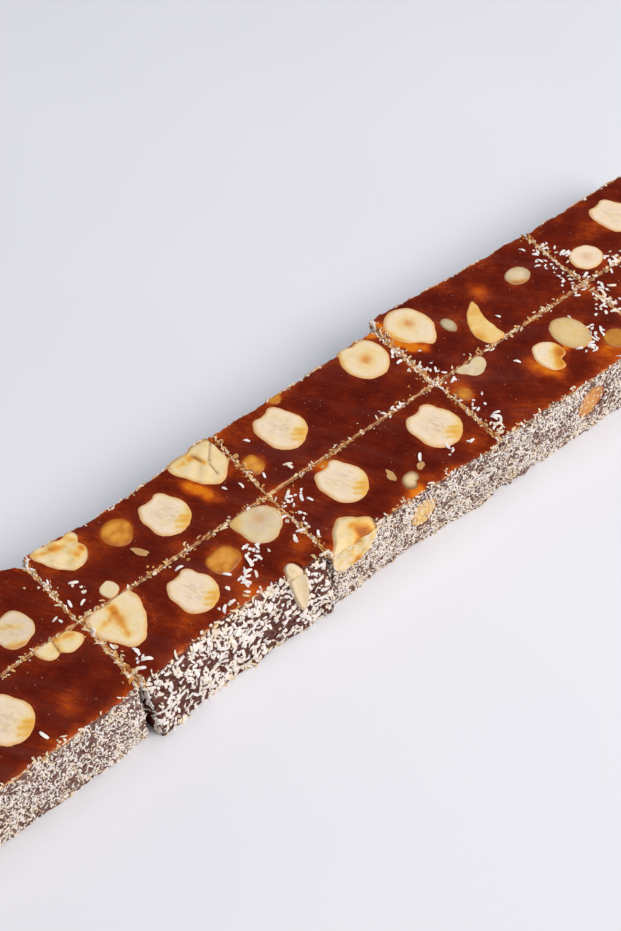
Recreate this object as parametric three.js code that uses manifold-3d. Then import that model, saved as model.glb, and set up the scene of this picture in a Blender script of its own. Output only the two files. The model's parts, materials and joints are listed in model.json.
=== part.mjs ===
// Cezerye: a bar of dark carrot jelly full of hazelnuts, coated in coconut on its two long sides
// and knife-cut into two rows of five slices that still lie together.
// Millimetres, +Z up. X runs along the bar, -Y is its front side, and the long cut lies on y = 0.
// The origin is on the surface that the bar rests on, under the middle of the bar.

import * as THREE from 'three';
import { mergeVertices } from 'three/addons/utils/BufferGeometryUtils.js';
import Module from 'manifold-3d';

const wasm = await Module();
wasm.setup();

// ---- Driving dimensions

const height = 18.9; // thickness of the pressed sheet
const pitch = 50; // length of one slice
const columns = 5; // slices in each row
const rowWidth = 21.4; // from the long cut to an outer side
const kerf = 0.7; // gap that the knife leaves at a cut
const clearance = 0.3; // room between a kernel and its pocket
const waviness = 0.3; // how uneven the coated sides are
const cornerInset = 0.8; // how far a slice's outer upright edges are rounded back
const shred = { length: 3.4, width: 1.1, thick: 1.2 }; // a coconut shred, half sunk in the jelly
const halfBar = (columns * pitch) / 2;

// ---- Slices
// start and end: how far the slice's two ends stand off the even pitch, at the long cut and at
// the outer side. width: how far its width stands off rowWidth at its start, middle and end.
// foot: how far the bottom edge of the outer side stands out past the top edge.
// endInset: how far the upright edge at its end is rounded back, where that is more than usual.

const backRow = 1;
const frontRow = -1;

const slices = [
  { row: backRow, column: 1, start: [0, 0.4], end: [-1.2, -1.8], width: [-0.4, 0.1, -0.2], foot: 0.5,
    endInset: 1.6 },
  { row: backRow, column: 2, start: [-0.2, -0.5], end: [-1.0, 0], width: [-0.1, -1.7, 0.6], foot: 0.6 },
  { row: backRow, column: 3, start: [-0.2, 0.8], end: [-1.4, -0.8], width: [0.3, -0.3, 0.8], foot: 0.5 },
  { row: backRow, column: 4, start: [-0.1, 1.4], end: [-0.7, 0.2], width: [4.0, 1.6, 1.1], foot: 0.3 },
  { row: backRow, column: 5, start: [0.2, 1.2], end: [-0.3, 0], width: [0.5, -0.1, -0.4], foot: 0.6 },
  { row: frontRow, column: 1, start: [0, 0.5], end: [-0.6, -0.3], width: [-0.3, -0.8, -0.8], foot: 1.2 },
  { row: frontRow, column: 2, start: [0.4, 1.6], end: [-0.9, -0.8], width: [-1.0, -3.2, -1.4], foot: 3.6 },
  { row: frontRow, column: 3, start: [0.1, 0.1], end: [-0.5, -1.2], width: [0, -0.6, 1.4], foot: 0.9 },
  { row: frontRow, column: 4, start: [0.5, 0.1], end: [-0.9, -1.4], width: [0.2, 0.9, 1.0], foot: 1.2 },
  { row: frontRow, column: 5, start: [0.2, -0.2], end: [0, -0.4], width: [0.8, 0, -0.5], foot: 1.0 },
].map((slice) => {
  const name = (slice.row === backRow ? 'back' : 'front') + '_slice_' + slice.column;
  const from = (slice.column - 1) * pitch - halfBar;
  return {
    ...slice,
    name,
    start: slice.start.map((off) => from + off),
    end: slice.end.map((off) => from + pitch + off),
    width: slice.width.map((off) => rowWidth + off),
  };
});

// ---- Kernels
// at: x and y of the cut face's centre on the slice's top, or its x and z on an outer side.
// size: the cut face across and along, before the turn in degrees. depth: how far in it reaches.
// proud: how far it may stand out past the slice's outer side.

const kernels = {
  back_slice_1: [
    { label: 'block', form: 'block', at: [-86.9, 6.9], size: [8.4, 8.8], turn: 12 },
    { label: 'bitten', form: 'bitten', at: [-104, 12.4], size: [10.4, 12.4], turn: -6 },
    { label: 'amber', form: 'block', at: [-116.5, 7.6], size: [7.2, 6.6], turn: 30, tone: 'amber' },
  ],
  back_slice_2: [
    { label: 'corner_start', form: 'wedge', at: [-68.8, 17.2], size: [12, 11.6], turn: 3 },
    { label: 'amber', form: 'block', at: [-56.5, 13.2], size: [7.2, 7.2], turn: 20, tone: 'amber' },
    { label: 'bitten', form: 'bitten', at: [-45.6, 10.4], size: [10.2, 12], turn: 4 },
    { label: 'corner_end', form: 'block', at: [-31.2, 16.6], size: [13.4, 13.2], turn: 38, proud: 1 },
    { label: 'chip', form: 'wedge', at: [-66.2, 2.2], size: [4, 5.2], turn: 180 },
  ],
  back_slice_3: [
    { label: 'amber', form: 'block', at: [-22.9, 8.6], size: [5, 5.6], turn: 10, tone: 'amber' },
    { label: 'bitten', form: 'bitten', at: [-11.2, 12.8], size: [11, 13.3], turn: 6 },
    { label: 'edge', form: 'oval', at: [-7, 20.9], size: [3.8, 4.4], turn: 0, tone: 'amber' },
    { label: 'round', form: 'oval', at: [17, 16.2], size: [12, 12.6], turn: 8, proud: 0.6 },
  ],
  back_slice_4: [
    { label: 'round', form: 'oval', at: [32.2, 16.7], size: [11.6, 13.6], turn: 6 },
    { label: 'chip', form: 'oval', at: [39.7, 11.3], size: [3.4, 5], turn: 5 },
    { label: 'claw', form: 'claw', at: [45.6, 5.4], size: [7.2, 17], turn: -16 },
    { label: 'pale', form: 'block', at: [64.1, 12.7], size: [6.8, 6.2], turn: 25 },
  ],
  back_slice_5: [
    { label: 'oval', form: 'oval', at: [82, 6], size: [9.4, 8], turn: -20 },
    { label: 'bitten', form: 'bitten', at: [98.5, 12], size: [10.6, 12.6], turn: 10 },
    { label: 'wedge', form: 'wedge', at: [114, 9], size: [11, 11.4], turn: 70 },
  ],
  front_slice_1: [
    { label: 'twin', form: 'twin', at: [-81.8, -0.8], size: [10, 8], turn: -8 },
    { label: 'bitten', form: 'bitten', at: [-99, -9.4], size: [10.2, 12], turn: 2 },
    { label: 'oval', form: 'oval', at: [-114, -12], size: [10, 8.4], turn: 35 },
  ],
  front_slice_2: [
    { label: 'wedge', form: 'wedge', at: [-68.7, -5.0], size: [13.4, 13.2], turn: 0 },
    { label: 'bitten', form: 'bitten', at: [-52.9, -9.2], size: [9.8, 11.7], turn: 5 },
    { label: 'amber', form: 'block', at: [-43.3, -7.2], size: [7.6, 6.4], turn: 12, tone: 'amber' },
    { label: 'flat', form: 'oval', at: [-31.6, -3.6], size: [11.2, 11.6], turn: 0 },
    { label: 'rim', form: 'oval', at: [-33.6, -18.6], size: [3.6, 5.4], turn: -20, depth: 8, proud: 1.2 },
  ],
  front_slice_3: [
    { label: 'bitten_start', form: 'bitten', at: [-10.4, -7.6], size: [10.6, 12.6], turn: 6 },
    { label: 'bitten_end', form: 'bitten', at: [16, -9.2], size: [11.4, 13.2], turn: 4 },
    { label: 'corner', form: 'wedge', at: [-18.2, -20.4], size: [13.6, 13], turn: 180, depth: 9,
      proud: 0.8 },
    { label: 'pale', form: 'oval', at: [1.4, -17.1], size: [3.8, 3.2], turn: 15, depth: 2 },
    { label: 'side', form: 'oval', at: [2, 10.6], size: [8, 8.6], turn: 0, onSide: true, depth: 3.4 },
  ],
  front_slice_4: [
    { label: 'crossing', form: 'wedge', at: [34.6, -1.6], size: [7.6, 7], turn: 10 },
    { label: 'amber', form: 'oval', at: [27.5, -6.8], size: [4.2, 4.2], turn: 0, tone: 'amber' },
    { label: 'glowing', form: 'block', at: [51.2, -10.6], size: [7.4, 10.2], turn: -6 },
    { label: 'olive', form: 'oval', at: [60.2, -9.3], size: [8.9, 11.1], turn: 4 },
    { label: 'end', form: 'oval', at: [67.4, -17.4], size: [6.6, 6], turn: 0, tone: 'amber' },
    { label: 'side', form: 'oval', at: [54.6, 10.2], size: [9.6, 9.6], turn: 0, onSide: true, depth: 4,
      tone: 'amber' },
  ],
  front_slice_5: [
    { label: 'oval', form: 'oval', at: [90, -11], size: [11, 9.4], turn: 25 },
    { label: 'bitten', form: 'bitten', at: [107, -9], size: [10.4, 12.2], turn: -4 },
    { label: 'amber', form: 'block', at: [118.5, -14.5], size: [6.8, 7], turn: 0, tone: 'amber' },
  ],
};

// Loose drifts of coconut on top of the bar: middle, half spread each way, number of shreds.
const drifts = [
  { at: [-73, 12], spread: [4, 8], count: 12 },
  { at: [-79, 2], spread: [5, 3], count: 5 },
  { at: [-70, -12], spread: [5, 7], count: 6 },
  { at: [-44, -13], spread: [9, 4], count: 18 },
  { at: [-31, 7], spread: [4, 3], count: 4 },
  { at: [-25, -7], spread: [4, 8], count: 16 },
  { at: [-18, 3], spread: [14, 2], count: 8 },
  { at: [26, 6], spread: [4, 9], count: 16 },
  { at: [28, -13], spread: [4, 6], count: 18 },
  { at: [18, -17], spread: [6, 3], count: 6 },
  { at: [62, -15], spread: [8, 5], count: 12 },
  { at: [75, 3], spread: [5, 16], count: 26 },
  { at: [102, -3], spread: [18, 8], count: 8 },
  { at: [-108, 1], spread: [14, 8], count: 8 },
];

const sideShreds = { along: 8, up: 3 }; // shreds on one slice's outer side
const endShreds = { along: 3, up: 2 }; // and on one slice's end of the bar
const edgeMargin = 0.09; // share of a face that they leave free along each edge
const sideSeed = 11;
const driftSeed = 5;

// ---- Small helpers

const lerp = THREE.MathUtils.lerp;
const degrees = THREE.MathUtils.degToRad;

function seeded(seed) {
  let state = seed;
  return () => {
    state = (state * 1664525 + 1013904223) % 4294967296;
    return state / 4294967296;
  };
}

// Value at t of the parabola through [at 0, at 0.5, at 1].
function through([a, b, c], t) {
  return a * (1 - t) * (1 - 2 * t) + 4 * b * t * (1 - t) + c * t * (2 * t - 1);
}

function solidOf(geometry) {
  geometry.deleteAttribute('normal');
  geometry.deleteAttribute('uv');
  const merged = mergeVertices(geometry, 1e-4);
  return new wasm.Manifold(new wasm.Mesh({
    numProp: 3,
    vertProperties: new Float32Array(merged.attributes.position.array),
    triVerts: new Uint32Array(merged.index.array),
  }));
}

function geometryOf(solid) {
  const mesh = solid.getMesh();
  const geometry = new THREE.BufferGeometry();
  geometry.setAttribute('position', new THREE.BufferAttribute(mesh.vertProperties, 3));
  geometry.setIndex(new THREE.BufferAttribute(mesh.triVerts, 1));
  geometry.computeVertexNormals();
  return geometry;
}

function reshape(geometry, move) {
  const position = geometry.attributes.position;
  const point = new THREE.Vector3();
  for (let i = 0; i < position.count; i += 1) {
    point.fromBufferAttribute(position, i);
    move(point);
    position.setXYZ(i, point.x, point.y, point.z);
  }
  return geometry;
}

// ---- The jelly of a slice

// The point of a slice's skin at u along it, v from the long cut to the outer side, w up it.
function skinPoint(slice, u, v, w, proud = 0) {
  const startX = lerp(slice.start[0], slice.start[1], v);
  const endX = lerp(slice.end[0], slice.end[1], v);
  const foot = slice.foot * Math.sin((1 - w) * Math.PI / 2);
  const wave = waviness * Math.sin(startX + u * 17) * Math.sin(w * 5 + u * 9);
  const outer = through(slice.width, u) + proud + (foot + wave) * v;
  const nearCorner = Math.pow(Math.abs(2 * u - 1) * v, 8);
  const inset = nearCorner * (u > 0.5 ? slice.endInset ?? cornerInset : cornerInset);
  const x = lerp(startX, endX, u) + (u > 0.5 ? -inset : inset);
  const y = slice.row * (lerp(kerf / 2, outer, v) - inset);
  return new THREE.Vector3(x, y, w * height);
}

const sliceGrid = { along: 6, across: 3, up: 2 };

function block(slice, proud) {
  const box = new THREE.BoxGeometry(1, 1, 1, sliceGrid.along, sliceGrid.across, sliceGrid.up);
  const crowd = (t) => Math.sin(t * Math.PI) / 2 + 0.5; // grid lines crowd towards the edges
  reshape(box, (p) => {
    p.copy(skinPoint(slice, crowd(p.x), crowd(slice.row * p.y), p.z + 0.5, proud));
  });
  return solidOf(box);
}

// ---- A hazelnut, cut flat across its top

// A form gives the outline's radius, as a factor, at an angle from the kernel's own X.
const dip = (angle, middle, halfWidth) => {
  const away = Math.atan2(Math.sin(angle - middle), Math.cos(angle - middle));
  return Math.exp(-Math.pow(away / halfWidth, 2));
};

const forms = {
  oval: (a) => 1 + 0.02 * Math.cos(3 * a + 1),
  bitten: (a) => 1 + 0.03 * Math.cos(4 * a) - 0.16 * dip(a, degrees(108), degrees(16)),
  block: (a) => 1 + 0.07 * Math.cos(4 * a + 0.6),
  wedge: (a) => 0.98 + 0.13 * Math.cos(3 * a + degrees(270)),
  claw: (a) => 1 - 0.45 * dip(a, degrees(-14), degrees(42)),
  twin: (a) => 1 - 0.22 * dip(a, degrees(-98), degrees(18)),
};

const kernelSides = 12;
const rings = 3; // rings of faces from a kernel's foot up to its cut face

// The usual depth of a kernel that was cut through near its middle.
const halfDepth = ([across, along]) => 0.45 * Math.min(across, along) + 0.6;

// A kernel grown by a clearance, with a collar that stands up past its cut face.
function kernelSolid(slice, nut, grow, collar) {
  const profile = [];
  for (let i = 0; i <= rings; i += 1) {
    const rise = (i / rings) * Math.PI / 2;
    profile.push(new THREE.Vector2(Math.sin(rise), -Math.cos(rise)));
  }
  profile.push(new THREE.Vector2(1, 1), new THREE.Vector2(0, 1));
  const [across, along] = nut.size;
  const depth = nut.depth ?? halfDepth(nut.size);
  const geometry = new THREE.LatheGeometry(profile, kernelSides).rotateX(Math.PI / 2);
  reshape(geometry, (p) => {
    const factor = forms[nut.form](Math.atan2(p.y, p.x));
    p.x *= factor * (across / 2 + grow);
    p.y *= factor * (along / 2 + grow);
    p.z = p.z > 0 ? collar : p.z * (depth + grow);
  });
  geometry.rotateZ(degrees(nut.turn));
  if (nut.onSide) {
    const u = (nut.at[0] - slice.start[1]) / (slice.end[1] - slice.start[1]);
    const middle = skinPoint(slice, u, 1, nut.at[1] / height);
    geometry.rotateX(-slice.row * Math.PI / 2).translate(nut.at[0], middle.y, nut.at[1]);
  } else {
    geometry.translate(nut.at[0], nut.at[1], height);
  }
  return solidOf(geometry);
}

// ---- Coconut

function shredSolid(middle, normal, turn, size) {
  const geometry = new THREE.OctahedronGeometry(1);
  geometry.scale(shred.length / 2 * size, shred.width / 2 * size, shred.thick / 2 * size);
  geometry.rotateZ(turn);
  geometry.applyQuaternion(new THREE.Quaternion().setFromUnitVectors(new THREE.Vector3(0, 0, 1), normal));
  geometry.translate(middle.x, middle.y, middle.z);
  return solidOf(geometry);
}

// A shred keeps off every kernel, unless it lies lower on the side than a kernel reaches down.
function clearOfKernels(slice, middle) {
  return kernels[slice.name].every((nut) => {
    const room = Math.max(...nut.size) / 2 + shred.length / 2;
    if (nut.onSide) return Math.hypot(middle.x - nut.at[0], middle.z - nut.at[1]) > room;
    const below = height - middle.z > (nut.depth ?? halfDepth(nut.size)) + shred.length / 2;
    return below || Math.hypot(middle.x - nut.at[0], middle.y - nut.at[1]) > room;
  });
}

// Spots spread evenly over an unrolled face: one somewhere in each cell of a grid.
function evenSpots({ along, up }, random, place) {
  const spots = [];
  for (let i = 0; i < along; i += 1) {
    for (let j = 0; j < up; j += 1) {
      const across = lerp(edgeMargin, 1 - edgeMargin, (i + lerp(0.15, 0.85, random())) / along);
      const rise = lerp(edgeMargin, 1 - edgeMargin, (j + lerp(0.15, 0.85, random())) / up);
      spots.push(place(across, rise));
    }
  }
  return spots;
}

function sideSpots(slice, random) {
  return evenSpots(sideShreds, random, (u, w) => {
    const normal = new THREE.Vector3(random() - 0.5, 2 * slice.row, random() - 0.5).normalize();
    return { middle: skinPoint(slice, u, 1, w), normal };
  });
}

function endSpots(slice, random) {
  const atStart = slice.column === 1;
  if (!atStart && slice.column !== columns) return [];
  const normal = new THREE.Vector3(atStart ? -1 : 1, 0, 0);
  return evenSpots(endShreds, random, (v, w) => {
    return { middle: skinPoint(slice, atStart ? 0 : 1, v, w), normal };
  });
}

// Every slice draws the same drifts, and keeps the shreds that fall inside its own outline.
function topSpots(slice) {
  const random = seeded(driftSeed);
  const spots = [];
  const margin = 1.2;
  const up = new THREE.Vector3(0, 0, 1);
  for (const drift of drifts) {
    for (let i = 0; i < drift.count; i += 1) {
      const x = drift.at[0] + drift.spread[0] * (2 * random() - 1);
      const y = drift.at[1] + drift.spread[1] * (2 * random() - 1);
      const u = (x - slice.start[0]) / (slice.end[0] - slice.start[0]);
      const outer = through(slice.width, u);
      const inside = x > slice.start[0] + margin && x < slice.end[0] - margin
        && y * slice.row > margin && y * slice.row < outer - margin;
      if (inside) spots.push({ middle: new THREE.Vector3(x, y, height), normal: up });
    }
  }
  return spots;
}

// ---- Meshes

const finish = {
  jelly: new THREE.MeshStandardMaterial({ color: 0x6a1a10, roughness: 0.25, metalness: 0 }),
  cream: new THREE.MeshStandardMaterial({ color: 0xf0dcb4, roughness: 0.6, metalness: 0 }),
  amber: new THREE.MeshStandardMaterial({ color: 0xc98a34, roughness: 0.45, metalness: 0 }),
};

function sliceMesh(slice, index) {
  const random = seeded(sideSeed + index);
  const spots = [...sideSpots(slice, random), ...endSpots(slice, random), ...topSpots(slice)];
  let solid = block(slice, 0);
  for (const { middle, normal } of spots) {
    const turn = Math.PI * random();
    const size = lerp(0.75, 1.25, random());
    if (clearOfKernels(slice, middle)) solid = solid.add(shredSolid(middle, normal, turn, size));
  }
  for (const nut of kernels[slice.name]) {
    solid = solid.subtract(kernelSolid(slice, nut, clearance, shred.length));
  }
  const mesh = new THREE.Mesh(geometryOf(solid), finish.jelly);
  mesh.name = slice.name;
  return mesh;
}

function kernelMesh(slice, nut) {
  const solid = kernelSolid(slice, nut, 0, 1).intersect(block(slice, nut.proud ?? 0));
  const mesh = new THREE.Mesh(geometryOf(solid), finish[nut.tone ?? 'cream']);
  mesh.name = slice.name.replace('slice', 'nut') + '_' + nut.label;
  return mesh;
}

const bar = new THREE.Group();
bar.name = 'cezerye';
slices.forEach((slice, index) => {
  bar.add(sliceMesh(slice, index));
  for (const nut of kernels[slice.name]) bar.add(kernelMesh(slice, nut));
});

export default bar;
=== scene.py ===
# Cezerye: a pressed bar of dark carrot jelly and hazelnuts, coated in coconut, cut in two rows of slices.
import json
import math
from functools import partial

import bpy
import numpy as np
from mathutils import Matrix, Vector, noise

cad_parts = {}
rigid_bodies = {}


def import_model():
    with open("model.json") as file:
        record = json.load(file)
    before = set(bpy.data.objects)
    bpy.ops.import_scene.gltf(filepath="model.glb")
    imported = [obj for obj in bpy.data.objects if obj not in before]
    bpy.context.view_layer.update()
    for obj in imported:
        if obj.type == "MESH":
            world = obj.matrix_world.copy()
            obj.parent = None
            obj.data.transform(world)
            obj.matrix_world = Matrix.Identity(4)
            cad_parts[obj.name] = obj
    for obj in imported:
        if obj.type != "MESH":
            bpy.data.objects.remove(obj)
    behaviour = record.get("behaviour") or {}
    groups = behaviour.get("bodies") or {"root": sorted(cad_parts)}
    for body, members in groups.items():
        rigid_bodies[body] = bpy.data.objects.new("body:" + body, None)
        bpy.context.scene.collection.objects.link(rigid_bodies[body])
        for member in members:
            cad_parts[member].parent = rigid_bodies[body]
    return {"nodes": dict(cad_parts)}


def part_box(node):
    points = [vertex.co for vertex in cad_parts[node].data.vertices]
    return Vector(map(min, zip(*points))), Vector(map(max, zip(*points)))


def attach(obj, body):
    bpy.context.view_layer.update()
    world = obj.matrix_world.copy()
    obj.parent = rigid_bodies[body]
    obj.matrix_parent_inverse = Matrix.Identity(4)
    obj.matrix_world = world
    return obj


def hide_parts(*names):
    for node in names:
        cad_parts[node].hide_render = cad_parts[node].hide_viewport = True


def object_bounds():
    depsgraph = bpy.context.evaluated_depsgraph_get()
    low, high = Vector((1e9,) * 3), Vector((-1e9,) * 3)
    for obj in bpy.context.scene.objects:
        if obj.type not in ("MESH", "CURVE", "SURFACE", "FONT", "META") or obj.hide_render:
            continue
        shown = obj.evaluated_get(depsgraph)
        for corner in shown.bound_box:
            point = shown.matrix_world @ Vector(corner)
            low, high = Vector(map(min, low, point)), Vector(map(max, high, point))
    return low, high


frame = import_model()
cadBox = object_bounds()
print("frame loaded:", len(frame["nodes"]), "CAD nodes")

mm = 0.001
front, back = -1, 1  # the side of the long cut that a row lies on


# ---- Small helpers

def linearColour(code):
    channels = [int(code[i:i + 2], 16) / 255 for i in (1, 3, 5)]
    return (*[c / 12.92 if c <= 0.04045 else ((c + 0.055) / 1.055) ** 2.4 for c in channels], 1)


def addNode(tree, kind, sockets=None, stops=None, **settings):
    # Adds one node and sets it. A socket that is given another node is linked to its first live output.
    node = tree.nodes.new(kind)
    for name, value in settings.items():
        setattr(node, name, value)
    for name, value in (sockets or {}).items():
        if isinstance(value, bpy.types.Node):
            value = next(output for output in value.outputs if output.enabled)
        if isinstance(value, bpy.types.NodeSocket):
            tree.links.new(value, node.inputs[name])
        else:
            node.inputs[name].default_value = linearColour(value) if str(value).startswith("#") else value
    for i, (place, colour) in enumerate(stops or []):
        stop = node.color_ramp.elements[i] if i < 2 else node.color_ramp.elements.new(place)
        stop.position = place
        stop.color = linearColour(colour)
    return node


def newMaterial(name):
    # An empty material, and what adds a node to it.
    material = bpy.data.materials.new(name)
    material.use_nodes = True
    material.node_tree.nodes.clear()
    return material, partial(addNode, material.node_tree)


def setMode(mode):
    bpy.ops.object.mode_set(mode=mode)


def deselectAll():
    if bpy.context.mode != "OBJECT":
        setMode("OBJECT")
    bpy.ops.object.select_all(action="DESELECT")


def makeActive(piece):
    deselectAll()
    piece.select_set(True)
    bpy.context.view_layer.objects.active = piece


def readPoints(piece):
    points = np.empty(len(piece.data.vertices) * 3)
    piece.data.vertices.foreach_get("co", points)
    return points.reshape(-1, 3) / mm


def writePoints(piece, points):
    piece.data.vertices.foreach_set("co", (points * mm).ravel())
    piece.data.update()


def readNormals(piece):
    normals = np.empty(len(piece.data.vertices) * 3)
    piece.data.vertex_normals.foreach_get("vector", normals)
    return normals.reshape(-1, 3)


def paint(piece, layers):
    # Puts numbers, or vectors, on every vertex, which a material or a scatter reads.
    for name, values in layers.items():
        if name in piece.data.attributes:
            piece.data.attributes.remove(piece.data.attributes[name])
        if np.ndim(values) == 0:
            values = np.full(len(piece.data.vertices), values)
        isVector = values.ndim == 2
        layer = piece.data.attributes.new(name, "FLOAT_VECTOR" if isVector else "FLOAT", "POINT")
        layer.data.foreach_set("vector" if isVector else "value", values.astype(np.float32).ravel())


def patchy(points, size, seed=0):
    # Soft noise from 0 to 1 in patches of about that size in millimetres.
    shift = Vector((seed * 7.31, seed * 3.17, seed * 5.71))
    return np.array([0.5 + 0.5 * noise.noise(Vector(p) / size + shift) for p in points])


def bumps(points, kinds):
    # Soft bumps and dents: the height, size and seed of each kind.
    return sum(height * (patchy(points, size, seed) - 0.5) for height, size, seed in kinds)


def smoothStep(low, high, values):
    t = np.clip((values - low) / (high - low), 0, 1)
    return t * t * (3 - 2 * t)


def spots(x, y, places):
    # Soft round spots: x, y, radius and strength of each.
    total = np.zeros(len(x))
    for px, py, reach, strength in places:
        total = total + strength * np.exp(-((x - px) ** 2 + (y - py) ** 2) / reach ** 2)
    return total


def nearLine(x, y, line, width):
    # 1 on a line of points, fading over that width beside it.
    nearest = np.full(len(x), 1e9)
    for (ax, ay), (bx, by) in zip(line, line[1:]):
        dx, dy = bx - ax, by - ay
        t = np.clip(((x - ax) * dx + (y - ay) * dy) / (dx * dx + dy * dy), 0, 1)
        nearest = np.minimum(nearest, np.hypot(x - ax - t * dx, y - ay - t * dy))
    return np.exp(-(nearest / width) ** 2)


def insideBox(points):
    # Nothing stands out of the bar's own box.
    return np.clip(points, *(np.array(corner) / mm for corner in cadBox))


def newBox(name, size, middle=(0, 0, 0)):
    deselectAll()
    bpy.ops.mesh.primitive_cube_add(size=1, location=Vector(middle) * mm, scale=[side * mm for side in size])
    bpy.ops.object.transform_apply(location=True, rotation=True, scale=True)
    piece = bpy.context.active_object
    piece.name = name
    return piece


def cutAlong(piece, axis, cuts):
    # Cuts every edge that runs along one axis, and with them the faces between.
    makeActive(piece)
    setMode("EDIT")
    bpy.ops.mesh.select_mode(type="EDGE")
    bpy.ops.mesh.select_all(action="DESELECT")
    setMode("OBJECT")
    for edge in piece.data.edges:
        a, b = (piece.data.vertices[i].co for i in edge.vertices)
        edge.select = abs((b - a).normalized()[axis]) > 0.99
    setMode("EDIT")
    bpy.ops.mesh.subdivide(number_cuts=cuts)
    setMode("OBJECT")


def copyOf(piece, name):
    twin = piece.copy()
    twin.data = piece.data.copy()
    twin.name = name
    bpy.context.scene.collection.objects.link(twin)
    return twin


def joined(pieces, name):
    makeActive(pieces[0])
    for piece in pieces:
        piece.select_set(True)
    if len(pieces) > 1:
        bpy.ops.object.join()
    pieces[0].name = name
    return pieces[0]


def applyAll(piece):
    makeActive(piece)
    bpy.context.view_layer.update()
    for modifier in list(piece.modifiers):
        bpy.ops.object.modifier_apply(modifier=modifier.name)


def smoothed(piece, degrees):
    makeActive(piece)
    bpy.ops.object.shade_smooth_by_angle(angle=math.radians(degrees))


# ---- Materials
# Sizes are in millimetres. A noise is its size, detail and roughness. A mask is the values that it
# starts and ends at, and the most it covers. The jelly's solid noises fill it, and the knifed ones
# run along the knife marks.

jellyLook = {
    "ramp": [(0, "#520f07"), (0.3, "#6f1e09"), (0.52, "#93340d"), (0.75, "#b84c0d"), (1, "#dc7812")],
    # The coated sides run from the jelly's own dusky brown, darkened as painted shade between the shreds, to
    # pale coconut dust.
    "dustAndShade": [(0.4, "#4c2b24"), (0.58, "#7d5f56"), (0.8, "#c9b4a8")],
    # The mauve patches on top are painted sheen, the pale room reflected in the satin jelly.
    "film": "#6c322b", "scratch": "#a4645a", "speck": "#cf9a7e", "burr": "#d8a273",
    "solid": {"patch": (5, 5, 0.6), "powder": (0.7, 5, 0.7)},
    # The fine knifed lines are real knife scratches, lightened with painted sheen.
    "knifed": {"mark": (0.6, 5, 0.7), "scratch": (0.28, 2, 0.5), "smear": (4, 4, 0.5)},
    "speckSpacing": 1.5, "lightBy": {"patch": 0.95, "mark": 0.6, "powder": 0.3}, "darken": 0.8,
    "paleByCrust": 0.22,
    "masks": {"film": (0.5, 0.72, 0.45), "scratch": (0.6, 0.8, 0.1), "spot": (0.13, 0.04, 1),
              "chosen": (0.45, 0.7, 0.6), "burr": (0.26, 0.42, 1)},
    "roughness": 0.42, "dryRoughness": 0.8, "roughByMark": 0.15, "gloss": 0.14, "shine": "#ffc8a8",
    "markDepth": 0.12, "powderDepth": 0.08,
}


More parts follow.
